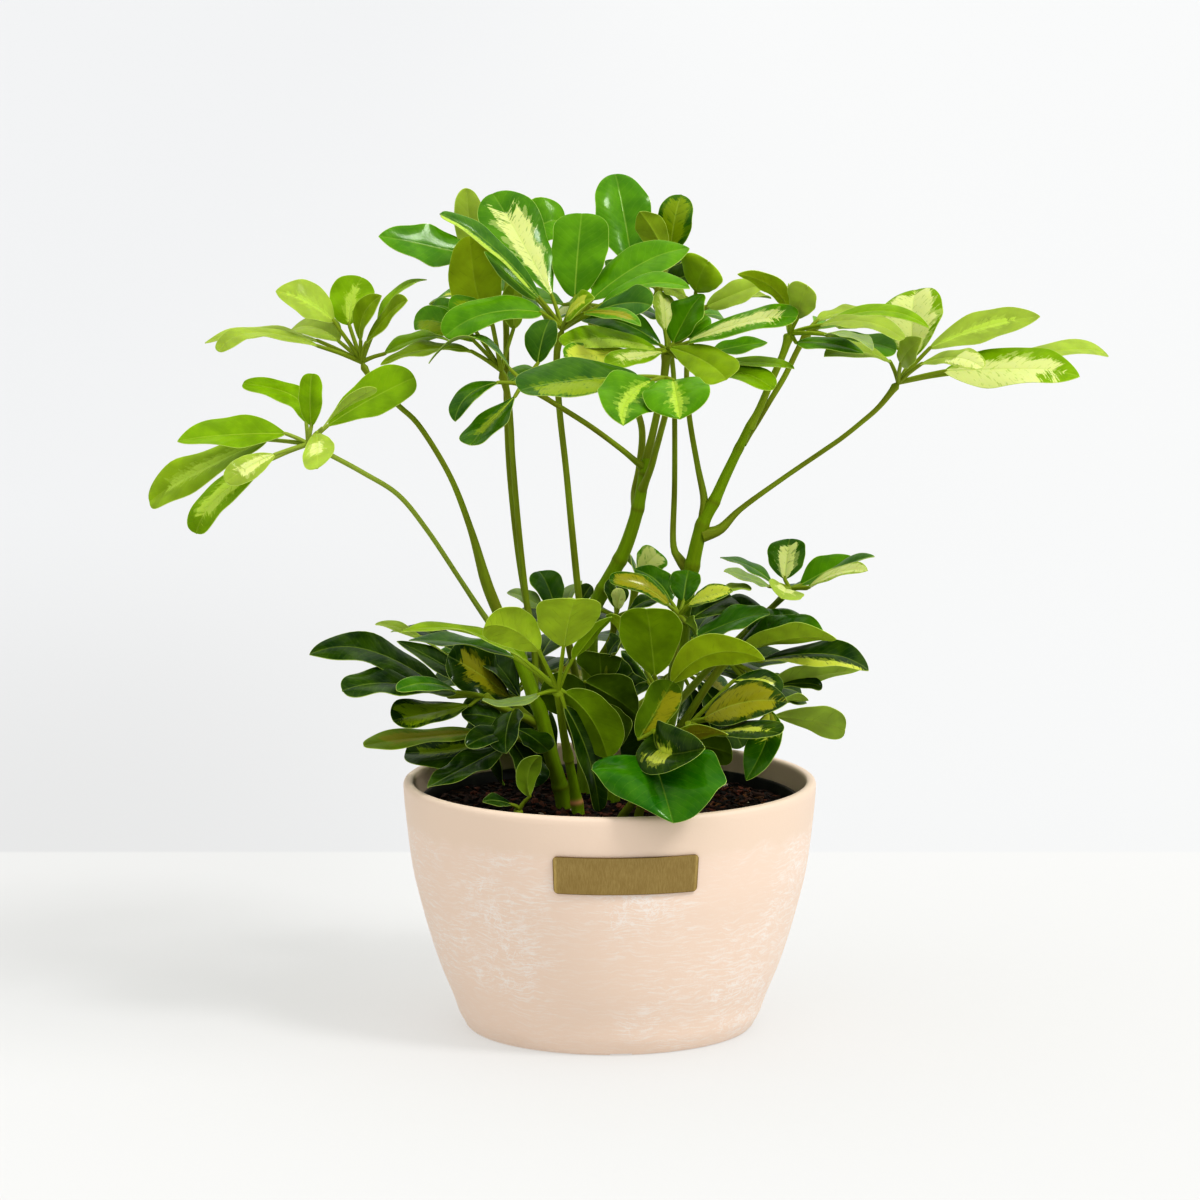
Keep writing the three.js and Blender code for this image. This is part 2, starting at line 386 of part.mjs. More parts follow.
      blade([4, 162, 104], [24, 166], 22, 40, 'obovate'),
      blade([50, 201, 108], [38, 178], 22, 50, 'obovate'),
      blade([88, 178, 70], [50, 173], 22, 58, 'pointed'),
    ]),
  frond('leaf_behind_top', 'dark', [-12, 350, 92],
    [[-6, 335, 80, 1.9], [6, 312, 56, 1.8], [15.3, 292, 36, 1.6], [14.8, 272, 25, 1.8],
      [12.5, 258, 17, 2.2], [13.5, 250, 9, 2.3]], [
      blade([-52, 352, 128], [-22, 350], 24, 68, 'obovate'),
      blade([-20, 376, 124], [-14, 356], 25, 40, 'obovate'),
      blade([10, 362, 140], [-6, 354], 24, 60, 'pointed'),
      blade([26, 344, 122], [0, 348], 24, 70, 'obovate'),
      blade([-30, 338, 144], [-16, 347], 24, 76, 'pointed'),
    ]),
];

// The leaves whose stalks go down into the soil themselves.
const ROOTED_FRONDS = ['leaf_by_the_soil', 'leaf_front_right_whorl', 'leaf_front_low', 'leaf_front_right'];

// ---------------------------------------------------------------- places, curves and lofts

function cane(name, radii, path) {
  return { name, radii, path };
}

function frond(name, tone, hub, petiole, blades) {
  return { name, tone, hub, petiole, blades };
}

function blade(tip, base, width, turn, outline, shape = {}) {
  return { tip, base, width, turn, outline, ...shape };
}

// The point of the front view at [u, v], pushed along the line of sight to depth y.
function at([u, v], y) {
  const seen = new THREE.Vector3(u, 0, 0).addScaledVector(UP, v);
  const sight = seen.sub(EYE);
  return EYE.clone().addScaledVector(sight, (y - EYE.y) / sight.y);
}

// Joins rings of equal size into one closed surface. A ring of one point is a tip, and a last ring
// of several points gets a flat cap.
function loft(rings) {
  const positions = [];
  const index = [];
  const starts = [];
  for (const ring of rings) {
    starts.push(positions.length / 3);
    for (const p of ring) positions.push(p.x, p.y, p.z);
  }
  const cap = (start, count, flip) => {
    for (let i = 1; i < count - 1; i++) {
      index.push(start, start + (flip ? i + 1 : i), start + (flip ? i : i + 1));
    }
  };
  const n = rings[0].length;
  for (let r = 0; r + 1 < rings.length; r++) {
    const a = starts[r];
    const b = starts[r + 1];
    for (let i = 0; i < n; i++) {
      const j = (i + 1) % n;
      if (rings[r + 1].length === 1) {
        index.push(a + i, a + j, b);
      } else {
        index.push(a + i, a + j, b + j, a + i, b + j, b + i);
      }
    }
  }
  cap(starts[0], n, true);
  if (rings.at(-1).length > 1) cap(starts.at(-1), n, false);
  const geometry = new THREE.BufferGeometry();
  geometry.setAttribute('position', new THREE.Float32BufferAttribute(positions, 3));
  geometry.setIndex(index);
  return facingOut(geometry);
}

// Turns a closed surface's triangles round if they face inwards.
function facingOut(geometry) {
  const p = geometry.attributes.position;
  const index = geometry.index.array;
  const corner = [0, 1, 2].map(() => new THREE.Vector3());
  let volume = 0;
  for (let t = 0; t < index.length; t += 3) {
    corner.forEach((c, k) => c.fromBufferAttribute(p, index[t + k]));
    volume += corner[0].dot(corner[1].clone().cross(corner[2]));
  }
  if (volume < 0) {
    for (let t = 0; t < index.length; t += 3) [index[t], index[t + 1]] = [index[t + 1], index[t]];
  }
  return geometry;
}

function solid(geometry) {
  const bare = geometry.clone();
  bare.deleteAttribute('normal');
  bare.deleteAttribute('uv');
  const merged = mergeVertices(bare, 1e-4);
  return new wasm.Manifold(new wasm.Mesh({
    numProp: 3,
    vertProperties: new Float32Array(merged.attributes.position.array),
    triVerts: new Uint32Array(merged.index.array),
  }));
}

// The geometry of a solid's largest body: a cut can leave crumbs beside it.
function surface(body, settle) {
  const parts = body.simplify(settle).decompose();
  parts.sort((a, b) => b.volume() - a.volume());
  const mesh = parts[0].getMesh();
  const geometry = new THREE.BufferGeometry();
  geometry.setAttribute('position', new THREE.BufferAttribute(new Float32Array(mesh.vertProperties), 3));
  geometry.setIndex(new THREE.BufferAttribute(new Uint32Array(mesh.triVerts), 1));
  return geometry;
}

// A round bar along points, with a radius at each of its rings.
function bar(points, radiusAt, sides, steps) {
  const curve = new THREE.CatmullRomCurve3(points, false, 'centripetal');
  const frames = curve.computeFrenetFrames(steps, false);
  const rings = [];
  for (let k = 0; k <= steps; k++) {
    const centre = curve.getPointAt(k / steps);
    const radius = radiusAt(k / steps);
    const ring = [];
    for (let i = 0; i < sides; i++) {
      const a = (i / sides) * 2 * Math.PI;
      ring.push(centre.clone()
        .addScaledVector(frames.normals[k], radius * Math.cos(a))
        .addScaledVector(frames.binormals[k], radius * Math.sin(a)));
    }
    rings.push(ring);
  }
  return loft(rings);
}

function lathe(profile, sides) {
  const points = profile.map(([r, z]) => new THREE.Vector2(r, z));
  const geometry = new THREE.LatheGeometry(points, sides);
  geometry.rotateX(Math.PI / 2);
  geometry.deleteAttribute('normal');
  geometry.deleteAttribute('uv');
  return facingOut(mergeVertices(geometry, 1e-4));
}

function box(width, depth, height, x, y, z) {
  const geometry = new THREE.BoxGeometry(width, depth, height);
  geometry.translate(x, y, z);
  return geometry;
}

function part(name, geometry, look) {
  const mesh = new THREE.Mesh(geometry, new THREE.MeshStandardMaterial(look));
  mesh.name = name;
  return mesh;
}

// ---------------------------------------------------------------- the planter and what it holds

function outerRadius(z) {
  const o = POT.outline;
  const k = Math.max(1, o.findIndex(([, height]) => height >= z));
  const [[r0, z0], [r1, z1]] = [o[k - 1], o[k]];
  return r0 + (r1 - r0) * (z - z0) / (z1 - z0);
}

function planter() {
  const inside = POT.outline.filter(([, z]) => z > POT.floor + POT.heel && z < POT.innerTop)
    .map(([r, z]) => [r - POT.wall, z]);
  const profile = [[0, 0], ...POT.outline, ...POT.rim, ...inside.reverse(),
    [outerRadius(POT.floor) - POT.wall - POT.heel, POT.floor], [0, POT.floor]];
  let body = solid(lathe(profile, POT.sides));
  const { inner, outer, depth } = POT.recess;
  const groove = lathe([[inner, -depth], [outer, -depth], [outer, depth], [inner, depth], [inner, -depth]],
    POT.sides);
  body = body.subtract(solid(groove));
  const { width, count } = POT.notch;
  const footMiddle = (outer + POT.outline[0][0]) / 2;
  for (let k = 0; k < count; k++) {
    const notch = box(width, 2 * width, 2 * POT.notch.depth, 0, -footMiddle, 0);
    notch.rotateZ(k * 2 * Math.PI / count);
    body = body.subtract(solid(notch));
  }
  return part('planter', surface(body, SETTLE.pot), LOOK.planter);
}

// A thin bent plate that follows the planter's wall, with its corners cut round.
function plaque() {
  const { arc, bottom, top, thick, corner, steps } = PLAQUE;
  const rings = [];
  for (let k = 0; k <= steps; k++) {
    const along = -arc / 2 + arc * 0.5 * (1 - Math.cos(Math.PI * k / steps));
    const toEnd = Math.min(along + arc / 2, arc / 2 - along);
    const inset = Math.max(0, corner - toEnd);
    const cut = corner - Math.sqrt(Math.max(0, corner * corner - inset * inset));
    const corners = [[bottom + cut, 0], [bottom + cut, thick], [top - cut, thick], [top - cut, 0]];
    const ring = corners.map(([z, proud]) => {
      const r = outerRadius(z) + GAP + proud;
      const a = along / outerRadius((bottom + top) / 2);
      return new THREE.Vector3(r * Math.sin(a), -r * Math.cos(a), z);
    });
    rings.push(ring);
  }
  return part('plaque', loft(rings), LOOK.plaque);
}

function linerRadius(z) {
  const share = (z - LINER.bottom) / (LINER.top - LINER.bottom);
  return LINER.bottomRadius + (LINER.topRadius - LINER.bottomRadius) * share;
}

function liner() {
  const { top, bottom, waist, wall, lip, sides } = LINER;
  const under = top - lip.height;
  const profile = [[0, bottom], [linerRadius(bottom), bottom], [linerRadius(waist), waist],
    [linerRadius(under), under], [linerRadius(under) + lip.proud, under],
    [linerRadius(top) + lip.proud, top], [linerRadius(top) - wall, top], [linerRadius(waist) - wall, waist],
    [linerRadius(bottom + wall) - wall, bottom + wall], [0, bottom + wall]];
  return part('liner', lathe(profile, sides), LOOK.liner);
}

// The soil, with a hole for each stem that goes down into it.
function soil(rooted) {
  const side = (z) => linerRadius(z) - LINER.wall - GAP;
  const { top, bottom, waist, edgeDrop, bank, dish, sides } = SOIL;
  const profile = [[0, bottom], [side(bottom), bottom], [side(waist), waist],
    [side(top - edgeDrop), top - edgeDrop], [side(top) - bank.width, top + bank.rise],
    [dish.radius, top + dish.rise], [0, top]];
  let body = solid(lathe(profile, sides));
  for (const hole of rooted) body = body.subtract(hole);
  return part('soil', surface(body, SETTLE.pot), LOOK.soil);
}

// ---------------------------------------------------------------- the plant

// A cane, or a petiole below, made thicker all round by extra.
function caneBar({ radii, path }, extra = 0) {
  const points = path.map(([u, v, y]) => at([u, v], y));
  const radiusAt = (s) => radii[0] + (radii[1] - radii[0]) * s + extra;
  const steps = Math.max(CANE.fewestSteps, Math.round(path.length * CANE.stepsPerPoint));
  return bar(points, radiusAt, CANE.sides, steps);
}

function petioleBar({ hub, petiole }, extra = 0) {
  const path = [[...hub, petiole[0][3]], ...petiole];
  const points = path.map(([u, v, y]) => at([u, v], y));
  const radiusAt = (s) => {
    const k = Math.min(path.length - 2, Math.floor(s * (path.length - 1)));
    const share = s * (path.length - 1) - k;
    return path[k][3] + (path[k + 1][3] - path[k][3]) * share + extra;
  };
  const steps = Math.max(PETIOLE.fewestSteps, Math.round(path.length * PETIOLE.stepsPerPoint));
  return bar(points, radiusAt, PETIOLE.sides, steps);
}

// Half widths of the leaflet outlines, from 0 at the base (s = 0) to 0 at the tip (s = 1).
const OUTLINES = {
  round: (s) => s ** 0.7 * (1 - s) ** 0.48,
  obovate: (s) => s ** 0.95 * (1 - s) ** 0.45,
  pointed: (s) => s ** 0.8 * (1 - s) ** 0.78,
  strap: (s) => s ** 0.55 * (1 - s) ** 0.34,
  blunt: (s) => s ** 0.8 * (1 - s) ** 0.22,
  notched: (s) => s ** 0.95 * (1 - s) ** 0.3,
  spoon: (s) => s ** 2.2 * (1 - s) ** 0.6,
  broad: (s) => s ** 0.3 * (1 - s) ** 0.7,
};

// The half width at s as a share of the outline's widest.
function outlineAt(name, s) {
  const shape = OUTLINES[name];
  const samples = 40;
  let widest = 0;
  for (let k = 1; k < samples; k++) widest = Math.max(widest, shape(k / samples));
  return shape(s) / widest;
}

// The middle line of a leaflet and the direction that its upper face looks in.
function leafletSpine(hubRow, row) {
  const reach = Math.hypot(row.base[0] - hubRow[0], row.base[1] - hubRow[1]);
  const rest = Math.hypot(row.tip[0] - row.base[0], row.tip[1] - row.base[1]);
  const baseDepth = hubRow[2] + (row.tip[2] - hubRow[2]) * reach / (reach + rest);
  const base = at(row.base, baseDepth);
  const tip = at(row.tip, row.tip[2]);
  const chord = tip.clone().sub(base);
  const length = chord.length();
  chord.normalize();
  const sight = base.clone().add(tip).multiplyScalar(0.5).sub(EYE).normalize();
  const across = chord.clone().cross(sight).normalize();
  if (chord.x < 0) across.negate();
  const toViewer = sight.clone().addScaledVector(chord, -sight.dot(chord)).normalize().negate();
  const angle = THREE.MathUtils.degToRad(row.turn);
  const face = toViewer.multiplyScalar(Math.cos(angle)).addScaledVector(across, Math.sin(angle));
  const middle = base.clone().add(tip).multiplyScalar(0.5);
  if (row.via) {
    middle.copy(at(row.via, (baseDepth + row.tip[2]) / 2));
  } else {
    middle.addScaledVector(face, LEAF.arch * length);
  }
  const control = middle.clone().multiplyScalar(2).addScaledVector(base, -0.5).addScaledVector(tip, -0.5);
  return { curve: new THREE.QuadraticBezierCurve3(base, control, tip), face };
}

// One leaflet with its stalk: a thin blade, a little thicker at its rib and folded up along it.
function leafletSolid(hubRow, row) {
  const { curve, face } = leafletSpine(hubRow, row);
  const rings = [];
  const ringAt = (centre, tangent, half, lift, thick, slide = 0) => {
    const normal = face.clone().addScaledVector(tangent, -face.dot(tangent)).normalize();
    const side = tangent.clone().cross(normal);
    const edge = (way) => centre.clone().addScaledVector(side, way * half)
      .addScaledVector(tangent, way * slide).addScaledVector(normal, lift);
    rings.push([
      edge(-1),
      centre.clone().addScaledVector(normal, -thick / 2),
      edge(1),
      centre.clone().addScaledVector(normal, thick / 2),
    ]);
  };
  const hub = at(hubRow, hubRow[2]);
  const base = curve.getPoint(0);
  ringAt(hub, base.clone().sub(hub).normalize(), LEAF.stalk, 0, 2 * LEAF.stalk);
  ringAt(base, curve.getTangent(0), LEAF.stalk, 0, 2 * LEAF.stalk);
  const fold = Math.tan(THREE.MathUtils.degToRad(row.fold ?? LEAF.fold));
  for (const s of LEAF.rings) {
    const half = outlineAt(row.outline, s) * row.width / 2;
    const thick = LEAF.thick * (1 - LEAF.taper * s);
    ringAt(curve.getPoint(s), curve.getTangent(s), half, half * fold, thick, half * (row.shear ?? 0));
  }
  rings.push([curve.getPoint(1)]);
  return solid(loft(rings));
}

// One compound leaf, cut clear of the obstacles that it grows against.
function frondPart(row, obstacles) {
  const hub = at(row.hub, row.hub[2]);
  const knob = new THREE.IcosahedronGeometry(LEAF.hub, 0);
  knob.translate(hub.x, hub.y, hub.z);
  let body = solid(petioleBar(row)).add(solid(knob));
  for (const one of row.blades) body = body.add(leafletSolid(row.hub, one));
  for (const obstacle of obstacles) body = body.subtract(obstacle);
  return part(row.name, surface(body, SETTLE.leaf), row.tone === 'dark' ? LOOK.leafDark : LOOK.leafBright);
}

// ---------------------------------------------------------------- assembly

const plant = new THREE.Group();
plant.rotation.z = TURN;
const thickCanes = CANES.map((row) => solid(caneBar(row, GAP)));
const rooted = [...thickCanes];
for (const row of CANES) plant.add(part(row.name, caneBar(row), LOOK.stem));
for (const row of FRONDS) {
  plant.add(frondPart(row, thickCanes));
  if (ROOTED_FRONDS.includes(row.name)) rooted.push(solid(petioleBar(row, GAP)));
}
plant.add(soil(rooted));

const object = new THREE.Group();
object.add(planter(), plaque(), liner(), plant);

export default object;
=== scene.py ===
"""Looks of the potted umbrella plant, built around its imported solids.

The planter with its plaque, the nursery liner, the soil, the canes and the compound leaves are
worked out in millimetres and handed over in metres. The plant is described from the front: u to the
right and v up in a plane that faces the viewer through the origin, y the depth behind it. In a
finish, a pair with show in its name is where a pattern starts to show and where it shows in full.
"""

from __future__ import annotations

import logging
import math
from collections.abc import Callable, Sequence
from dataclasses import dataclass, field
from enum import Enum
from typing import ClassVar

import bpy
import numpy as np
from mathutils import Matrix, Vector, noise


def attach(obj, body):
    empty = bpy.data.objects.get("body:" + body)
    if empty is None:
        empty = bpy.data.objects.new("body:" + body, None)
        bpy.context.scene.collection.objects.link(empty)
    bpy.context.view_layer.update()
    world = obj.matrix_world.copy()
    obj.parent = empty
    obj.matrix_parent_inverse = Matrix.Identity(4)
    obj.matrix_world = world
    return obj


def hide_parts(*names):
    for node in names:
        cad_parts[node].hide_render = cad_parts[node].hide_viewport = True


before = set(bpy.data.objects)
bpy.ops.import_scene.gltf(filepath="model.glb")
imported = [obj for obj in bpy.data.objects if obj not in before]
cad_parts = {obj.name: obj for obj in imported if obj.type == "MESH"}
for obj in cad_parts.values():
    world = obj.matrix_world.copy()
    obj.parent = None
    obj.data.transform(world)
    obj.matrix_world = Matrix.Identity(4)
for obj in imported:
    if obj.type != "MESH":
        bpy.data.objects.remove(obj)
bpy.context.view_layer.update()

LOG = logging.getLogger("umbrella_plant")
MM = 0.001
ROOT = "root"

Point = tuple[float, float, float]
Spot = tuple[float, float]


# ---- the front view


@dataclass(frozen=True)
class FrontView:
    """Where the viewer of the front stands, and how front-view places become places in space."""

    eye: Point = (-4.7, -2500.0, 596.0)
    pitch: float = math.radians(8.815)
    turn: float = math.radians(-4.5)
    lens: float = 157.5
    sensor: float = 36.0

    def at(self, u: float, v: float, y: float) -> np.ndarray:
        """Finds the place of a front-view point at a depth.

        Args:
            u: Millimetres to the right.
            v: Millimetres up in the tilted plane of the view.
            y: Depth behind the view's foot, in millimetres.

        Returns:
            The place in the viewer's frame, in millimetres.
        """
        eye = np.array(self.eye)
        seen = np.array([u, v * math.sin(self.pitch), v * math.cos(self.pitch)])
        sight = seen - eye
        return eye + sight * ((y - eye[1]) / sight[1])

    def to_object(self, points: np.ndarray) -> np.ndarray:
        """Turns points from the viewer's frame to the object's, and from millimetres to metres."""
        c, s = math.cos(self.turn), math.sin(self.turn)
        return points @ np.array([[c, s, 0.0], [-s, c, 0.0], [0.0, 0.0, 1.0]]) * MM


VIEW = FrontView()


# ---- shader tools


class Value:
    """A shader socket that can be used in Python expressions."""

    def __init__(self, painter: "Graph", socket: bpy.types.NodeSocket) -> None:
        """Keeps the socket and the graph that adds nodes for it."""
        self.painter = painter
        self.socket = socket

    def math(self, operation: str, *others: "Value | float") -> "Value":
        """Adds a Math node of the operation on this value and the others."""
        sockets = dict(enumerate((self, *others)))
        made = self.painter.node("Math", {"operation": operation}, sockets)
        return Value(self.painter, made.outputs[0])

    def __add__(self, other: "Value | float") -> "Value":
        """Adds."""
        return self.math("ADD", other)

    __radd__ = __add__

    def __mul__(self, other: "Value | float") -> "Value":
        """Multiplies."""
        return self.math("MULTIPLY", other)

    __rmul__ = __mul__

    def __sub__(self, other: "Value | float") -> "Value":
        """Subtracts."""
        return self.math("SUBTRACT", other)

    def __rsub__(self, other: float) -> "Value":
        """Subtracts this value from a number."""
        return (self * -1.0) + other

    def __truediv__(self, other: "Value | float") -> "Value":
        """Divides."""
        return self.math("DIVIDE", other)

    def size(self) -> "Value":
        """The value without its sign."""
        return self.math("ABSOLUTE")

    def ramp(self, low: float, high: float) -> "Value":
        """Goes smoothly from 0 to 1.

        Args:
            low: Where it is 0.
            high: Where it is 1, which may be less than low.

        Returns:
            The smooth step.
        """
        if low > high:
            return 1.0 - self.ramp(high, low)
        span = {"Value": self, "From Min": low, "From Max": high}
        made = self.painter.node("MapRange", {"interpolation_type": "SMOOTHSTEP"}, span)
        return Value(self.painter, made.outputs["Result"])


@dataclass(frozen=True)
class Pattern:
    """A cloudy pattern round 0.5.

    scale counts its cells to a unit of place, layers and strength are those of its finer detail,
    squeeze multiplies the first two numbers of a leaf's or stem's place, and reach is how far the
    pattern pushes a place about.
    """

    scale: float = 1.0
    layers: float = 2.0
    strength: float = 0.5
    squeeze: Spot = (1.0, 1.0)
    reach: float = 0.0


class Graph:
    """Adds nodes to one shader tree."""

    def __init__(self, tree: bpy.types.NodeTree) -> None:
        """Keeps the tree."""
        self.tree = tree

    def node(self, kind: str, settings: dict | None = None, sockets: dict | None = None) -> bpy.types.Node:
        """Adds a shader node.

        Args:
            kind: The node's type without its ShaderNode prefix.
            settings: Properties set before the sockets.
            sockets: Values, sockets or expressions for the inputs, by name or number.

        Returns:
            The new node.
        """
        made = self.tree.nodes.new("ShaderNode" + kind)
        for key, value in (settings or {}).items():
            setattr(made, key, value)
        for key, value in (sockets or {}).items():
            source = value.socket if isinstance(value, Value) else value
            if isinstance(source, bpy.types.NodeSocket):
                self.tree.links.new(source, made.inputs[key])
            else:
                made.inputs[key].default_value = source
        return made

    def attribute(self, name: str, output: str) -> Value:
        """Reads an attribute that the piece's mesh carries."""
        return Value(self, self.node("Attribute", {"attribute_name": name}).outputs[output])

    def place(self) -> Value:
        """The place in the object's frame, in metres."""
        return Value(self, self.node("TexCoord").outputs["Object"])

    def split(self, vector: Value) -> tuple[Value, Value, Value]:
        """The three numbers of a vector."""
        made = self.node("SeparateXYZ", None, {0: vector})
        return tuple(Value(self, made.outputs[k]) for k in range(3))

    def join(self, x: Value | float, y: Value | float, z: Value | float) -> Value:
        """A vector of three numbers."""
        return Value(self, self.node("CombineXYZ", None, {0: x, 1: y, 2: z}).outputs[0])

    def vector(self, operation: str, *parts: Value | Point) -> Value:
        """A Vector Math node's vector."""
        made = self.node("VectorMath", {"operation": operation}, dict(enumerate(parts)))
        return Value(self, made.outputs["Vector"])

    def _clouds(self, place: Value, pattern: Pattern, output: str) -> Value:
        """An output of a noise texture."""
        detail = {"Detail": pattern.layers, "Roughness": pattern.strength}
        made = self.node("TexNoise", None, {"Vector": place, "Scale": pattern.scale, **detail})
        return Value(self, made.outputs[output])

    def noise(self, place: Value, pattern: Pattern) -> Value:
        """Reads a pattern at a place in the object."""
        return self._clouds(place, pattern, "Fac")

    def squeezed(self, x: Value, y: Value, depth: Value, pattern: Pattern) -> Value:
        """Reads a pattern at a place on a leaf or stem, whose own number is the depth."""
        wide, long = pattern.squeeze
        return self.noise(self.join(x * wide, y * long, depth), pattern)

    def warp(self, place: Value, pattern: Pattern) -> Value:
        """Pushes a place about by a pattern, as far as its reach."""
        push = self.vector("SUBTRACT", self._clouds(place, pattern, "Color"), (0.5, 0.5, 0.5))
        return self.vector("ADD", place, self.vector("MULTIPLY", push, (pattern.reach,) * 3))

    def blend(self, share: Value | float, low: Value | tuple, high: Value | tuple) -> Value:
        """Mixes two colours, with a share of the second."""
        sockets = {0: share, 6: self._colour(low), 7: self._colour(high)}
        return Value(self, self.node("Mix", {"data_type": "RGBA"}, sockets).outputs[2])

    @staticmethod
    def _colour(value: Value | tuple) -> Value | tuple:
        """Gives a plain colour its alpha."""
        return value if isinstance(value, Value) else (*value, 1.0)

    def bump(self, height: Value, depth: float) -> Value:
        """A normal bent by a height, whose full rise is depth millimetres."""
        made = self.node("Bump", None, {"Height": height, "Distance": depth * MM, "Strength": 1.0})
        return Value(self, made.outputs["Normal"])


class Painter(Graph):
    """Builds one procedural material round a Principled shader."""

    def __init__(self, name: str) -> None:
        """Starts an empty material."""
        self.material = bpy.data.materials.new(name)
        self.material.use_nodes = True
        super().__init__(self.material.node_tree)
        self.shader = self.tree.nodes["Principled BSDF"]

    def finish(self, **sockets: "Value | float | tuple") -> bpy.types.Material:
        """Fills the shader's sockets and returns the material.

        Args:
            **sockets: Values by the shader's socket names, with _ for each space.

        Returns:
            The finished material.
        """
        for key, value in sockets.items():
            socket = self.shader.inputs[key.replace("_", " ")]
            if isinstance(value, Value):
                self.tree.links.new(value.socket, socket)
            else:
                socket.default_value = value
        return self.material


def tint(red: int, green: int, blue: int) -> Point:
    """Turns a colour as seen on a screen, 0 to 255, into the shader's linear light."""
    shares = (red / 255, green / 255, blue / 255)
    return tuple(((c + 0.055) / 1.055) ** 2.4 if c > 0.04 else c / 12.92 for c in shares)


# ---- mesh tools


@dataclass
class Shell:
    """A mesh blank: its corner places and faces, ready to be bent and copied."""

    places: np.ndarray
    faces: list[tuple[int, ...]]

    @classmethod
    def from_object(cls, made: bpy.types.Object) -> "Shell":
        """Takes a modelled object's mesh and removes the object.

        Args:
            made: The object.

        Returns:
            Its shell.
        """
        mesh = made.data
        places = np.empty(len(mesh.vertices) * 3)
        mesh.vertices.foreach_get("co", places)
        shell = cls(places.reshape(-1, 3), [tuple(p.vertices) for p in mesh.polygons])
        bpy.data.objects.remove(made)
        bpy.data.meshes.remove(mesh)
        return shell


@dataclass
class Stack:
    """Copies of blanks gathered into one mesh, with attributes on their corners."""

    name: str
    places: list[np.ndarray] = field(default_factory=list)
    faces: list[tuple[int, ...]] = field(default_factory=list)
    slots: list[int] = field(default_factory=list)
    marks: dict[str, list[np.ndarray]] = field(default_factory=dict)
    count: int = 0

    def add(
        self, places: np.ndarray, faces: Sequence[tuple[int, ...]], slot: int, **marks: np.ndarray
    ) -> None:
        """Adds one bent copy.

        Args:
            places: The corners, in metres in the object's frame.
            faces: The faces, as numbers of corners.
            slot: The material slot of its faces.
            **marks: Attribute name to one row for each corner, or one row for all.
        """
        self.places.append(places)
        self.faces.extend(tuple(k + self.count for k in face) for face in faces)
        self.slots.extend([slot] * len(faces))
        for name, rows in marks.items():
            rows = np.atleast_2d(np.asarray(rows, dtype=float))
            if len(rows) == 1:
                rows = np.repeat(rows, len(places), axis=0)
            self.marks.setdefault(name, []).append(rows)
        self.count += len(places)

    def build(self, materials: Sequence[bpy.types.Material], crease: float) -> bpy.types.Object:
        """Makes the object of all that was added.

        Args:
            materials: The materials of its slots.
            crease: The angle in degrees from which an edge shows sharp.

        Returns:
            The object, at the origin.
        """
        mesh = bpy.data.meshes.new(self.name)
        mesh.from_pydata(np.concatenate(self.places).tolist(), [], self.faces)
        for name, parts in self.marks.items():
            rows = np.concatenate(parts)
            if rows.shape[1] == 4:
                layer, key = mesh.attributes.new(name, "FLOAT_COLOR", "POINT"), "color"
            else:
                layer, key = mesh.attributes.new(name, "FLOAT_VECTOR", "POINT"), "vector"
            layer.data.foreach_set(key, rows.astype(np.float32).ravel())
        for material in materials:
            mesh.materials.append(material)
        mesh.polygons.foreach_set("material_index", self.slots)
        mesh.update()
        made = bpy.data.objects.new(self.name, mesh)
        bpy.context.scene.collection.objects.link(made)
        smooth(made, crease)
        return made


def only(made: bpy.types.Object) -> None:
    """Makes an object the active and only selected one."""
    bpy.ops.object.select_all(action="DESELECT")
    made.select_set(True)
    bpy.context.view_layer.objects.active = made


def start_edit(made: bpy.types.Object) -> None:
    """Goes into edit mode with all of an object selected."""
    only(made)
    bpy.ops.object.mode_set(mode="EDIT")
    bpy.ops.mesh.select_all(action="SELECT")


def end_edit() -> None:
    """Turns all faces outwards and leaves edit mode."""
    bpy.ops.mesh.select_all(action="SELECT")
    bpy.ops.mesh.normals_make_consistent(inside=False)
    bpy.ops.object.mode_set(mode="OBJECT")


def smooth(made: bpy.types.Object, crease: float) -> None:
    """Shades an object smooth, but for edges sharper than the crease in degrees."""
    only(made)
    bpy.ops.object.shade_smooth_by_angle(angle=math.radians(crease))


def apply(made: bpy.types.Object, kind: str, **settings: object) -> None:
    """Adds a modifier and applies it.

    Args:
        made: The object.
        kind: The modifier's type.
        **settings: Its properties.
    """
    only(made)
    modifier = made.modifiers.new(kind.lower(), kind)
    for key, value in settings.items():
        setattr(modifier, key, value)
    bpy.ops.object.modifier_apply(modifier=modifier.name)


def hand_over(made: bpy.types.Object, slot: str, *nodes: str) -> None:
    """Puts a finished piece on the body.

    Args:
        made: The piece.
        slot: Its material slot in the record; not used.
        *nodes: The CAD nodes that it takes the place of.
    """
    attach(made, ROOT)
    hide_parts(*nodes)
    LOG.info("%s: %d faces", made.name, len(made.data.polygons))


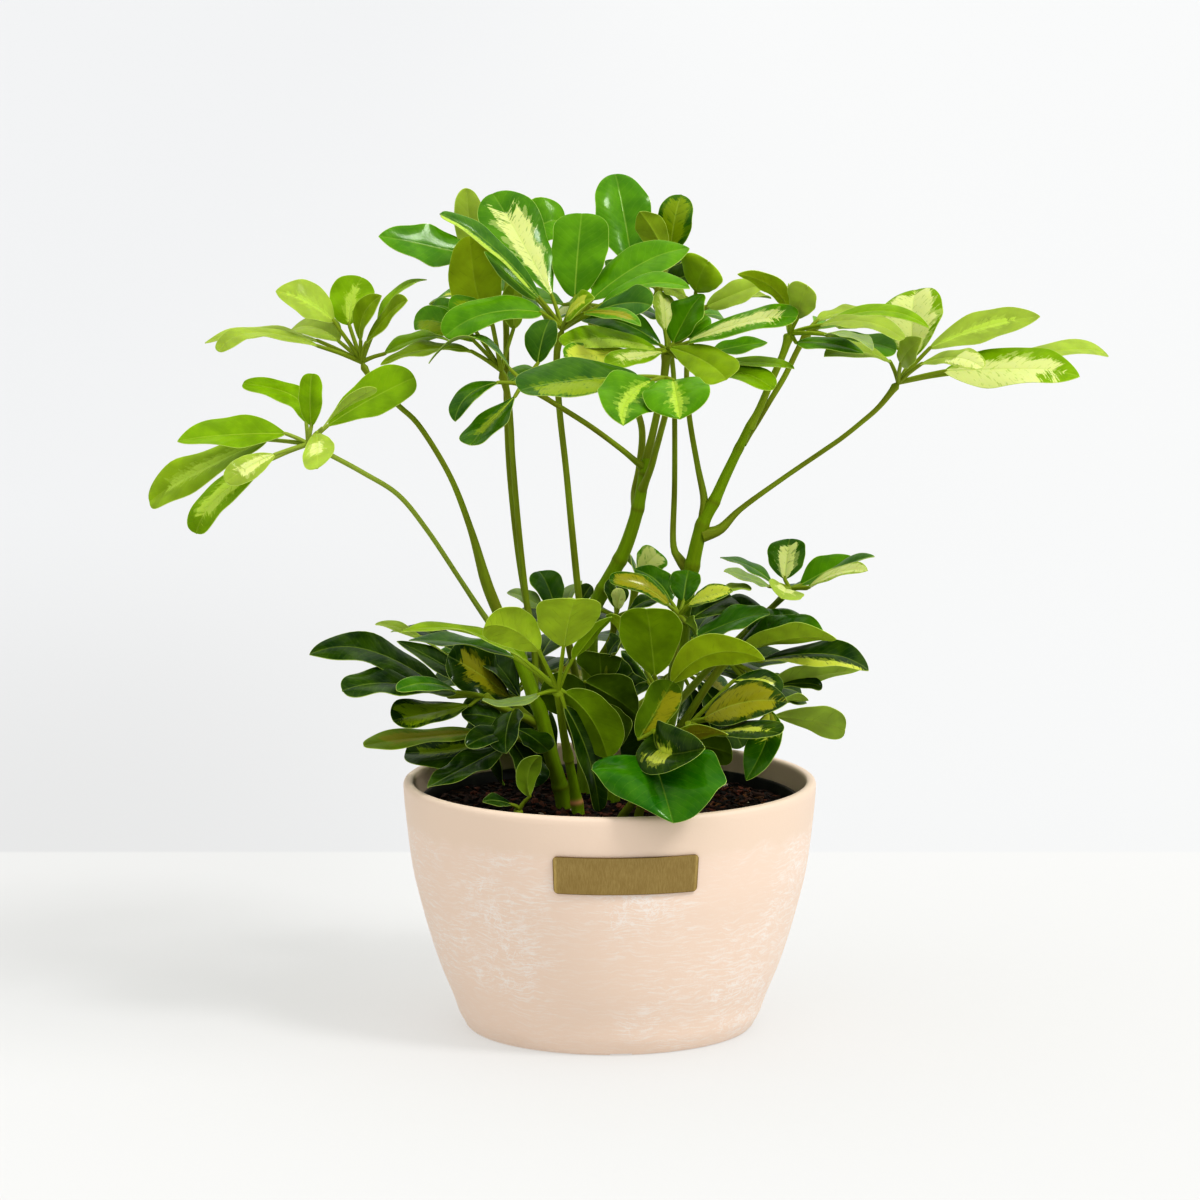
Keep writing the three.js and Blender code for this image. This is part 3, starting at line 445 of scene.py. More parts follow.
@dataclass(frozen=True)
class Lathe:
    """Turns a profile round the Z axis, ring by ring, as on a wheel."""

    AXIS: ClassVar[float] = 0.5

    sides: int = 160

    def turn(self, name: str, profile: Sequence[Spot]) -> bpy.types.Object:
        """Makes a turned body, whose two ends are closed by flats of the radius AXIS.

        Args:
            name: The object's name.
            profile: Radius and height of each ring in millimetres, from one flat to the other.

        Returns:
            The object, with its faces pointing out.
        """
        (r0, z0), rest = profile[0], profile[1:]
        bpy.ops.object.select_all(action="DESELECT")
        bpy.ops.mesh.primitive_circle_add(
            vertices=self.sides, radius=r0 * MM, fill_type="TRIFAN", location=(0.0, 0.0, z0 * MM)
        )
        made = bpy.context.object
        made.name = made.data.name = name
        bpy.ops.object.transform_apply(location=True)
        start_edit(made)
        before_r, before_z = r0, z0
        for r, z in rest:
            rise = {"value": (0.0, 0.0, (z - before_z) * MM)}
            bpy.ops.mesh.extrude_region_move(TRANSFORM_OT_translate=rise)
            share = r / before_r
            bpy.ops.transform.resize(value=(share, share, 1.0), center_override=(0.0, 0.0, z * MM))
            before_r, before_z = r, z
        end_edit()
        return made


def rounded(points: Sequence[Spot], step: float) -> list[Spot]:
    """Runs a smooth curve through profile points.

    Args:
        points: Radius and height of each point.
        step: The most that two of the curve's points may be apart.

    Returns:
        The curve's points, with the first and last point kept.
    """
    p = np.array([points[0], *points, points[-1]], dtype=float)
    out: list[Spot] = []
    for a, b, c, d in zip(p, p[1:], p[2:], p[3:]):
        count = max(1, math.ceil(float(np.linalg.norm(c - b)) / step))
        for k in range(count):
            t = k / count
            out.append(tuple(spline(a, b, c, d, t)))
    return [*out, tuple(p[-1])]


def spline(a: np.ndarray, b: np.ndarray, c: np.ndarray, d: np.ndarray, t: float) -> np.ndarray:
    """The point at share t between b and c of a smooth curve through a, b, c and d."""
    return b + 0.5 * t * (c - a + t * (2 * a - 5 * b + 4 * c - d + t * (3 * (b - c) + d - a)))


# ---- planter and plaque


@dataclass(frozen=True)
class StoneFinish:
    """Peach cast stone with pale feathery marbling below a plain band."""

    body: Point = tint(238, 216, 198)
    band: Point = tint(235, 213, 193)
    cloud: Point = tint(242, 232, 223)
    vein: Point = tint(246, 242, 238)
    band_low: float = 97.0
    band_high: float = 104.0
    band_waver: float = 12.0
    band_edge: Pattern = Pattern(90.0)
    sheen: Pattern = Pattern(60.0)
    grain: Pattern = Pattern(900.0)
    grain_depth: float = 0.04
    streak_push: Pattern = Pattern(60.0, reach=0.008)
    streaks: Pattern = Pattern(120.0, 9.0, 0.74)
    streak_flatness: Point = (1.0, 1.0, 8.0)
    streaks_show: Spot = (0.48, 0.61)
    drift_push: Pattern = Pattern(34.0, 3.0, reach=0.022)
    drift: Pattern = Pattern(20.0, 3.0)
    drift_shows: Spot = (0.40, 0.62)
    feather_push: Pattern = Pattern(90.0, 4.0, reach=0.012)
    feathers: Pattern = Pattern(240.0, 9.0, 0.78)
    feather_flatness: Point = (1.0, 1.0, 2.0)
    feathers_show: Spot = (0.56, 0.72)
    ridge_push: Pattern = Pattern(95.0, 4.0, reach=0.010)
    ridges: Pattern = Pattern(80.0, 9.0, 0.68)
    ridges_show: Spot = (0.95, 1.0)
    clusters: Pattern = Pattern(21.0, 3.0)
    clusters_show: Spot = (0.50, 0.68)
    vein_strength: float = 0.55

    def material(self) -> bpy.types.Material:
        """Paints the planter's material."""
        p = Painter("peach_cast_stone")
        place = p.place()
        _, _, height = p.split(place)
        level = height + (p.noise(place, self.band_edge) - 0.5) * (self.band_waver * MM)
        marbled = level.ramp(self.band_high * MM, self.band_low * MM)
        grain = p.noise(place, self.grain)
        band = p.blend(grain * 0.10, self.band, self.cloud)
        return p.finish(
            Base_Color=p.blend(marbled, band, self._marbling(p, place)),
            Roughness=0.42 + p.noise(place, self.sheen) * 0.12,
            Normal=p.bump(grain, self.grain_depth),
            Specular_IOR_Level=0.45,
        )

    def _marbling(self, p: Painter, place: Value) -> Value:
        """Paints combed streaks in drifting clouds, with clusters of feathery veins.

        Args:
            p: The painter.
            place: The place in the object.

        Returns:
            The colour.
        """
        flat = p.vector("MULTIPLY", p.warp(place, self.streak_push), self.streak_flatness)
        combed = p.noise(flat, self.streaks).ramp(*self.streaks_show)
        drift = p.noise(p.warp(place, self.drift_push), self.drift).ramp(*self.drift_shows)
        clouded = p.blend(combed * (0.22 + drift * 0.62), self.body, self.cloud)
        torn = p.vector("MULTIPLY", p.warp(place, self.feather_push), self.feather_flatness)
        feather = p.noise(torn, self.feathers).ramp(*self.feathers_show)
        off_ridge = (p.noise(p.warp(place, self.ridge_push), self.ridges) - 0.5).size() * 2.0
        ridge = (1.0 - off_ridge).ramp(*self.ridges_show)
        where = p.noise(place, self.clusters).ramp(*self.clusters_show)
        veins = (ridge * where + feather * where * 0.7).math("MINIMUM", 1.0)
        return p.blend(veins * self.vein_strength, clouded, self.vein)


@dataclass(frozen=True)
class Planter:
    """The bowl planter: a rounded wall, a rolled lip and a flat foot with a shallow recess."""

    wall: tuple[Spot, ...] = (
        (69.0, 0.4), (70.2, 1.5), (71.4, 4.0), (73.4, 7.5), (76.3, 15.9), (82.3, 30.7), (87.2, 45.5),
        (91.3, 60.3), (94.9, 75.1), (96.8, 86.9), (98.2, 98.8), (99.4, 110.6), (99.8, 116.5),
    )
    lip: tuple[Spot, ...] = (
        (99.9, 118.8), (99.5, 120.1), (98.5, 120.9), (97.0, 121.0), (95.9, 120.8), (95.2, 120.1),
        (94.9, 119.0),
    )
    inside: tuple[Spot, ...] = (
        (94.4, 110.0), (91.8, 87.0), (86.3, 60.5), (77.3, 31.0), (71.3, 16.0), (66.5, 7.5), (60.0, 6.0),
    )
    foot_recess: tuple[Spot, ...] = ((14.6, 0.0), (15.0, 1.2), (58.6, 1.2), (59.0, 0.0), (67.6, 0.0))
    floor: tuple[Spot, ...] = ((40.0, 6.0), (Lathe.AXIS, 6.0))
    step: float = 3.0
    crease: float = 40.0
    notch_width: float = 10.7
    notch_depth: float = 1.0
    notch_shift: float = 2.0
    notch_count: int = 4

    def build(self) -> None:
        """Turns the planter, cuts its foot's notches and dresses it."""
        outside = rounded(self.wall, self.step)
        inner = rounded((self.lip[-1], *self.inside), self.step)[1:]
        profile = [(Lathe.AXIS, 0.0), *self.foot_recess, *outside, *self.lip, *inner, *self.floor]
        made = Lathe().turn("planter_bowl", profile)
        for k in range(self.notch_count):
            self._cut_notch(made, k * 2 * math.pi / self.notch_count)
        smooth(made, self.crease)
        made.data.materials.append(StoneFinish().material())
        hand_over(made, "planter", "planter")

    def _cut_notch(self, made: bpy.types.Object, angle: float) -> None:
        """Cuts one notch through the foot.

        Args:
            made: The planter.
            angle: Where round the axis, in radians from the front.
        """
        middle = (self.foot_recess[-2][0] + self.wall[0][0]) / 2 + self.notch_shift
        size = (self.notch_width * MM, 2 * self.notch_width * MM, 2 * self.notch_depth * MM)
        bpy.ops.object.select_all(action="DESELECT")
        bpy.ops.mesh.primitive_cube_add(
            size=1.0,
            location=(middle * math.sin(angle) * MM, -middle * math.cos(angle) * MM, 0.0),
            rotation=(0.0, 0.0, angle),
            scale=size,
        )
        cutter = bpy.context.object
        bpy.ops.object.transform_apply(location=True, rotation=True, scale=True)
        apply(made, "BOOLEAN", operation="DIFFERENCE", object=cutter, solver="EXACT")
        bpy.data.objects.remove(cutter)

    def radius(self, z: float) -> float:
        """The outer radius at a height, both in millimetres."""
        heights = [point[1] for point in self.wall]
        return float(np.interp(z, heights, [point[0] for point in self.wall]))


@dataclass(frozen=True)
class AgedBrassFinish:
    """Aged brass, brushed up and down, with painted shade in brown along its edges."""

    bright: Point = tint(208, 186, 128)
    dark: Point = tint(170, 146, 90)
    # The brown of the painted shade along the edges.
    brown: Point = tint(92, 70, 38)
    brushing: Pattern = Pattern(2600.0, 4.0, 0.7)
    brushing_stretch: Point = (1.0, 1.0, 0.015)
    brushing_shows: Spot = (0.25, 0.75)
    brushing_depth: float = 0.03
    tarnish: Pattern = Pattern(70.0, 3.0)
    tarnish_shows: Spot = (0.45, 0.75)
    edge_shade_shows: Spot = (0.35, 1.0)

    def material(self) -> bpy.types.Material:
        """Paints the plaque's material."""
        p = Painter("aged_brass")
        place = p.place()
        brushed = p.noise(p.vector("MULTIPLY", place, self.brushing_stretch), self.brushing)
        tarnish = p.noise(place, self.tarnish).ramp(*self.tarnish_shows)
        edge_shade_mask, _, _ = p.split(p.attribute("plate_edge_shade", "Vector"))
        colour = p.blend(brushed.ramp(*self.brushing_shows) * 0.8 + 0.1, self.dark, self.bright)
        colour = p.blend(tarnish * 0.35, colour, self.dark)
        # Painted shade: darker brown along the plate's edges.
        colour = p.blend(edge_shade_mask.ramp(*self.edge_shade_shows) * 0.85, colour, self.brown)
        return p.finish(
            Base_Color=colour,
            Metallic=0.85,
            Roughness=0.30 + brushed * 0.22,
            Normal=p.bump(brushed, self.brushing_depth),
        )


@dataclass(frozen=True)
class Plaque:
    """A thin bare metal plate with round corners, bent to the planter's wall."""

    planter: Planter
    arc: float = 68.8
    bottom: float = 83.8
    top: float = 102.0
    thick: float = 1.3
    gap: float = 0.1
    corner: float = 2.2
    corner_faces: int = 6
    soft_edge: float = 0.45
    soft_faces: int = 3
    rim_reach: float = 1.2
    crease: float = 50.0
    bends: int = 36

    def build(self) -> None:
        """Models the plate flat, bends it round the wall and dresses it."""
        made = self._flat_plate()
        mesh = made.data
        places = np.empty(len(mesh.vertices) * 3)
        mesh.vertices.foreach_get("co", places)
        places = places.reshape(-1, 3)
        # How near each corner is to the outline, which places the painted shade along the brass's edges.
        edge_shade_mask = self._rim(places)
        middle = (self.bottom + self.top) / 2
        bent = np.array([self._bend(place / MM, middle) for place in places])
        mesh.vertices.foreach_set("co", (bent * MM).ravel())
        layer = mesh.attributes.new("plate_edge_shade", "FLOAT_VECTOR", "POINT")
        layer.data.foreach_set("vector", np.column_stack([edge_shade_mask, edge_shade_mask, edge_shade_mask]).ravel())
        mesh.update()
        smooth(made, self.crease)
        mesh.materials.append(AgedBrassFinish().material())
        hand_over(made, "plaque", "plaque")

    def _flat_plate(self) -> bpy.types.Object:
        """A flat plate in the XY plane with round corners, a soft edge and lines to bend it along."""
        bpy.ops.object.select_all(action="DESELECT")
        bpy.ops.mesh.primitive_plane_add(size=1.0)
        made = bpy.context.object
        made.name = made.data.name = "bare_plaque"
        made.scale = (self.arc * MM, (self.top - self.bottom) * MM, 1.0)
        bpy.ops.object.transform_apply(scale=True)
        start_edit(made)
        bpy.ops.mesh.bevel(offset=self.corner * MM, segments=self.corner_faces, affect="VERTICES")
        bpy.ops.mesh.select_all(action="SELECT")
        lift = {"value": (0.0, 0.0, self.thick * MM)}
        bpy.ops.mesh.extrude_region_move(TRANSFORM_OT_translate=lift)
        end_edit()
        edge = {"width": self.soft_edge * MM, "segments": self.soft_faces}
        apply(made, "BEVEL", limit_method="ANGLE", angle_limit=math.radians(self.crease), **edge)
        start_edit(made)
        for k in range(1, self.bends):
            bpy.ops.mesh.select_all(action="SELECT")
            x = (k / self.bends - 0.5) * self.arc * MM
            bpy.ops.mesh.bisect(plane_co=(x, 0.0, 0.0), plane_no=(1.0, 0.0, 0.0))
        bpy.ops.object.mode_set(mode="OBJECT")
        return made

    def _rim(self, places: np.ndarray) -> np.ndarray:
        """How near each corner of the flat plate is to its outline, from 0 inside to 1 at the edge."""
        half = np.array([self.arc, self.top - self.bottom]) * MM / 2
        return np.clip(1 - np.min(half - np.abs(places[:, :2]), axis=1) / (self.rim_reach * MM), 0, 1)

    def _bend(self, place: np.ndarray, middle: float) -> np.ndarray:
        """Takes a point of the flat plate to the wall.

        Args:
            place: The point, in millimetres.
            middle: The height of the plate's middle.

        Returns:
            The point on the wall, in millimetres.
        """
        z = middle + place[1]
        r = self.planter.radius(z) + self.gap + place[2]
        angle = place[0] / self.planter.radius(middle)
        return np.array([r * math.sin(angle), -r * math.cos(angle), z])


# ---- liner and soil


@dataclass(frozen=True)
class PlasticFinish:
    """Black moulded plastic, greyed by dust in places."""

    black: Point = tint(26, 27, 26)
    dusty: Point = tint(86, 84, 76)
    dust: Pattern = Pattern(120.0, 4.0, 0.6)
    dust_shows: Spot = (0.52, 0.72)
    grain: Pattern = Pattern(700.0, 3.0)
    grain_depth: float = 0.06

    def material(self) -> bpy.types.Material:
        """Paints the liner's material."""
        p = Painter("black_moulded_plastic")
        place = p.place()
        dust = p.noise(place, self.dust).ramp(*self.dust_shows)
        return p.finish(
            Base_Color=p.blend(dust * 0.35, self.black, self.dusty),
            Roughness=0.38 + dust * 0.3,
            Normal=p.bump(p.noise(place, self.grain), self.grain_depth),
        )


@dataclass(frozen=True)
class Liner:
    """The thin black nursery pot inside the planter."""

    outside: tuple[Spot, ...] = (
        (58.0, 6.8), (62.4, 6.9), (63.2, 8.0), (77.2, 60.0), (89.4, 105.8), (91.2, 106.0), (92.3, 106.6),
        (92.6, 110.2), (92.3, 110.9),
    )
    inside: tuple[Spot, ...] = (
        (91.6, 111.2), (90.6, 111.0), (90.0, 110.2), (89.2, 106.0), (75.9, 60.0), (62.4, 9.0),
        (Lathe.AXIS, 8.4),
    )
    bottom: float = 6.8
    sides: int = 120
    crease: float = 40.0

    def build(self) -> None:
        """Turns the liner and dresses it."""
        profile = [(Lathe.AXIS, self.bottom), *self.outside, *self.inside]
        made = Lathe(self.sides).turn("nursery_liner", profile)
        smooth(made, self.crease)
        made.data.materials.append(PlasticFinish().material())
        hand_over(made, "liner", "liner")


class Crumb(Enum):
    """Kinds of grains in the potting mix, each with its colour and its share of them."""

    PEAT = ((26, 17, 11), 0.45)
    BARK = ((64, 36, 20), 0.31)
    RED_BARK = ((104, 54, 32), 0.17)
    FIBRE = ((138, 98, 62), 0.055)
    PERLITE = ((206, 190, 170), 0.015)


@dataclass(frozen=True)
class SoilFinish:
    """Dark crumbly potting mix with a few paler grains."""

    dark: Point = tint(14, 9, 6)
    brown: Point = tint(50, 31, 19)
    brown_shows: Spot = (0.2, 0.95)
    pale: Point = tint(110, 68, 44)
    pale_shows: Spot = (0.94, 0.99)
    push: Pattern = Pattern(300.0, reach=0.002)
    grain_scale: float = 420.0
    lumps: Pattern = Pattern(260.0, 3.0)
    depth: float = 0.7

    def material(self) -> bpy.types.Material:
        """Paints the root ball's material."""
        p = Painter("potting_mix")
        place = p.place()
        sockets = {"Vector": p.warp(place, self.push), "Scale": self.grain_scale}
        grains = p.node("TexVoronoi", {"feature": "F1"}, sockets)
        tone, _, _ = p.split(Value(p, grains.outputs["Color"]))
        colour = p.blend(tone.ramp(*self.brown_shows), self.dark, self.brown)
        colour = p.blend(tone.ramp(*self.pale_shows) * 0.7, colour, self.pale)
        height = 1.0 - Value(p, grains.outputs["Distance"]) + p.noise(place, self.lumps)
        return p.finish(
            Base_Color=colour, Roughness=0.92, Normal=p.bump(height, self.depth), Specular_IOR_Level=0.2
        )


@dataclass(frozen=True)
class CrumbFinish:
    """Loose crumbs, each in the tone that its corners carry, with dark specks."""

    speck_tint: Point = tint(24, 15, 10)
    specks: Pattern = Pattern(1500.0)
    specks_show: Spot = (0.35, 0.7)
    depth: float = 0.2

    def material(self) -> bpy.types.Material:
        """Paints the crumbs' material."""
        p = Painter("bark_crumbs")
        speck = p.noise(p.place(), self.specks)
        tone = p.attribute("crumb_tone", "Color")
        colour = p.blend(speck.ramp(*self.specks_show) * 0.5, tone, self.speck_tint)
        return p.finish(Base_Color=colour, Roughness=0.85, Normal=p.bump(speck, self.depth))


@dataclass(frozen=True)
class Soil:
    """The root ball: potting mix with an uneven top and loose crumbs of bark on it.

    Each of its lumps is a width, the layer of noise that it is read in, and a rise.
    """

    bottom: float = 14.0
    top: float = 105.6
    radius: float = 88.2
    side: tuple[Spot, ...] = ((60.0, 14.0), (63.0, 14.6), (75.0, 60.0), (86.8, 101.0), (88.0, 103.6))
    edge: float = 0.4
    ring_step: float = 1.6
    sides: int = 180
    crease: float = 80.0
    lumps: tuple[Point, ...] = ((16.0, 3.1, 1.3), (5.0, 7.7, 0.9), (1.9, 1.3, 0.5))
    bank_start: float = 60.0
    bank_width: float = 28.0
    crumb_count: int = 2200
    crumb_edge: float = 3.0
    crumb_crease: float = 30.0
    seed: int = 41

    def build(self) -> None:
        """Models the ball and its crumbs and dresses them."""
        rings = [(r, self.top) for r in np.arange(self.radius - self.edge, 1.0, -self.ring_step)]
        profile = [(Lathe.AXIS, self.bottom), *self.side, *rings, (Lathe.AXIS, self.top)]
        made = Lathe(self.sides).turn("root_ball", profile)
        for vertex in made.data.vertices:
            if vertex.co.z > (self.top - 1.0) * MM:
                vertex.co.z = self.height(vertex.co.x / MM, vertex.co.y / MM) * MM
        smooth(made, self.crease)
        made.data.materials.append(SoilFinish().material())
        hand_over(made, "soil", "soil")
        self._crumbs()

    def height(self, x: float, y: float) -> float:
        """Finds the height of the soil's top.

        Args:
            x: Millimetres to the right of the axis.
            y: Millimetres behind it.

        Returns:
            The height in millimetres.
        """
        level = self.top
        for width, layer, rise in self.lumps:
            level += noise.noise(Vector((x / width, y / width, layer))) * rise
        return level + max(0.0, (math.hypot(x, y) - self.bank_start) / self.bank_width) ** 2

    def _crumbs(self) -> None:
        """Strews bark, fibre and a little perlite over the top."""
        bpy.ops.mesh.primitive_ico_sphere_add(subdivisions=1, radius=1.0)
        blank = Shell.from_object(bpy.context.object)
        rng = np.random.default_rng(self.seed)
        stack = Stack("loose_crumbs")
        kinds = tuple(Crumb)
        shares = [kind.value[1] for kind in kinds]
        for _ in range(self.crumb_count):
            kind = kinds[rng.choice(len(kinds), p=shares)]
            r, a = (self.radius - self.crumb_edge) * math.sqrt(rng.random()), rng.random() * 2 * math.pi
            corners = self._crumb(blank, kind, rng, r * math.cos(a), r * math.sin(a))
            stack.add(corners, blank.faces, 0, crumb_tone=self._tone(kind, rng))
        made = stack.build([CrumbFinish().material()], self.crumb_crease)
        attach(made, ROOT)

    def _crumb(self, blank: Shell, kind: Crumb, rng: np.random.Generator, x: float, y: float) -> np.ndarray:
        """Shapes one crumb: a lump, a flake of bark or a thread of fibre, lying as it fell.

        Args:
            blank: A small ball.
            kind: What it becomes.
            rng: The source of chance.
            x: Millimetres to the right of the axis.
            y: Millimetres behind it.

        Returns:
            Its corners, in metres.
        """
        size = rng.uniform(0.5, 1.5) * (1.25 if kind in (Crumb.BARK, Crumb.RED_BARK) else 1.0)
        long, flat = (2.6, 0.5) if kind is Crumb.FIBRE else (rng.uniform(1.1, 2.2), rng.uniform(0.35, 0.8))
        wide = 0.3 if kind is Crumb.FIBRE else 1.0
        shape = blank.places * np.array([long, wide, flat]) * size
        shape = shape * (1 + rng.uniform(-0.22, 0.22, (len(shape), 1)))
        spin, tip = rng.uniform(0, 2 * math.pi), rng.uniform(-0.5, 0.5)
        c, s = math.cos(tip), math.sin(tip)
        turned = shape @ np.array([[c, 0, s], [0, 1, 0], [-s, 0, c]])
        c, s = math.cos(spin), math.sin(spin)
        turned = turned @ np.array([[c, s, 0], [-s, c, 0], [0, 0, 1]])
        return (turned + np.array([x, y, self.height(x, y) + size * flat * 0.4])) * MM

    @staticmethod
    def _tone(kind: Crumb, rng: np.random.Generator) -> np.ndarray:
        """A crumb's colour, a little lighter or darker than its kind's."""
        return np.array([*(np.array(tint(*kind.value[0])) * rng.uniform(0.6, 1.3)), 1.0])


# ---- what grows


class Green(Enum):
    """Tones of a leaflet: the colour of its upper face, of its underside, and its gloss."""

    BRIGHT = ((132, 168, 5), (158, 186, 44), 0.35)
    MID = ((93, 148, 4), (142, 172, 26), 0.55)
    GLOSSY = ((84, 142, 2), (126, 160, 8), 0.95)
    RICH = ((46, 118, 2), (104, 142, 6), 0.9)
    DEEP = ((54, 104, 2), (120, 148, 8), 0.9)
    DARK = ((28, 64, 3), (84, 110, 6), 0.8)
    BLUISH = ((64, 116, 28), (128, 154, 44), 0.8)
    PALE = ((164, 184, 76), (178, 202, 90), 0.2)
    OLIVE = ((126, 150, 12), (162, 182, 34), 0.3)
    LIME = ((150, 178, 34), (166, 188, 58), 0.3)
    GREYISH = ((142, 162, 102), (174, 190, 116), 0.4)


class Cream(Enum):
    """Tones of the variegated patches."""

    CREAM = (210, 217, 142)
    YELLOW = (200, 208, 84)
    LIME = (182, 206, 84)
    MUSTARD = (156, 154, 34)
    OLIVE = (136, 158, 16)


class Patch(Enum):
    """Where a leaflet is variegated: centre and half width across, then start and end along."""

    NONE = (0.0, 0.0, 2.0, 3.0)
    STRIPE = (0.0, 0.20, -0.1, 0.80)
    WEDGE = (0.0, 0.15, 0.05, 1.2)
    CENTRE = (0.0, 0.46, -0.1, 0.82)
    WIDE = (0.0, 0.74, -0.1, 0.93)
    ALL = (0.0, 1.4, -0.1, 1.3)
    LEFT = (-0.5, 0.42, 0.05, 0.92)
    LEFT_EDGE = (-0.85, 0.28, 0.0, 1.0)
    RIGHT_EDGE = (0.85, 0.28, 0.0, 1.0)
    TIP = (0.0, 0.8, 0.58, 1.3)
    BASE = (0.0, 0.7, -0.1, 0.45)
    BLOTCH = (0.15, 0.36, 0.35, 0.70)
    LOWER = (0.34, 0.78, -0.1, 0.80)


@dataclass(frozen=True)
class Blade:
    """One leaflet: where it lies in the front view, how it faces and how it is painted.

    turn is the angle in degrees of its upper face from the viewer: 0 faces the viewer, 90 faces up or
    out, and 180 shows the underside. fold lifts its halves, and shear slides its sides along it by that
    share of their distance from its rib.
    """

    tip: Point
    base: Spot
    width: float
    turn: float
    outline: str
    green: Green = Green.MID
    patch: Patch = Patch.NONE
    cream: Cream = Cream.YELLOW
    via: Spot | None = None
    fold: float = 9.0
    shear: float = 0.0


OUTLINES: dict[str, Callable[[np.ndarray], np.ndarray]] = {
    "round": lambda s: s**0.7 * (1 - s) ** 0.48,
    "obovate": lambda s: s**0.95 * (1 - s) ** 0.45,
    "pointed": lambda s: s**0.8 * (1 - s) ** 0.78,
    "strap": lambda s: s**0.55 * (1 - s) ** 0.34,
    "blunt": lambda s: s**0.8 * (1 - s) ** 0.22,
    "notched": lambda s: s**0.95 * (1 - s) ** 0.3,
    "spoon": lambda s: s**2.2 * (1 - s) ** 0.6,
    "broad": lambda s: s**0.3 * (1 - s) ** 0.7,
}


@dataclass(frozen=True)
class Frond:
    """One compound leaf: its hub, its stalk as [u, v, y, radius] points, and its leaflets."""

    name: str
    slot: str
    hub: Point
    stalk: tuple[tuple[float, float, float, float], ...]
    blades: tuple[Blade, ...]
    stem: tuple[int, int, int] = (140, 158, 40)
    brown: float = 0.35


@dataclass(frozen=True)
class Cane:
    """One woody stem: radii at its foot and top, its points and the shares of its nodes."""

    name: str
    radii: Spot
    path: tuple[Point, ...]
    nodes: tuple[float, ...] = (0.2, 0.45, 0.7)
    stem: tuple[int, int, int] = (136, 168, 6)
    brown: float = 0.2
    scar: float | None = None


# Short names for the rows below.
B, G, P, C = Blade, Green, Patch, Cream

# Canes from left to right, and leaves from the upper left to the lower right, then those behind.
CANES = (
    Cane("cane_left", (3.9, 3.2), ((-21, 94, 5), (-23.5, 112, 3), (-28.5, 130, -1), (-33.5, 150, -2),
        (-38.5, 163, -2), (-46, 183, 1), (-52, 196, 4)),
        nodes=(0.2, 0.64, 0.88)),
    Cane("cane_centre", (4.6, 2.4), ((3, 94, 20), (-3, 130, 21), (-9, 165, 21), (-9, 196, 18),
        (-3, 211, 15), (6.2, 228, 12), (11.7, 243, 10), (14.7, 255, 9), (16.9, 268, 8), (18.5, 277, 7)),
        nodes=(0.15, 0.3, 0.42, 0.63, 0.72, 0.86, 0.95)),
    Cane("cane_right", (4.9, 1.8), ((17, 94, 0), (24, 130, 3), (32, 165, 4), (37, 205, 3),
        (40.6, 224, 2), (45, 242, 1), (51, 254, 0), (56.4, 266, 0), (63.6, 281, -2), (69.2, 293, -4)),
        nodes=(0.15, 0.3, 0.5, 0.63, 0.73, 0.79, 0.93)),
    Cane("cane_front", (3.4, 1.9), ((-14, 92, -11), (-16, 107, -10), (-18, 118, -12),
        (-20.5, 131, -16)),
        nodes=(0.36, 0.9), scar=0.38),
    Cane("cane_back", (4.6, 3.4), ((-14, 92, 34), (-12, 120, 44), (-13, 146, 56)),
        nodes=(0.3, 0.7, 0.95)),
)

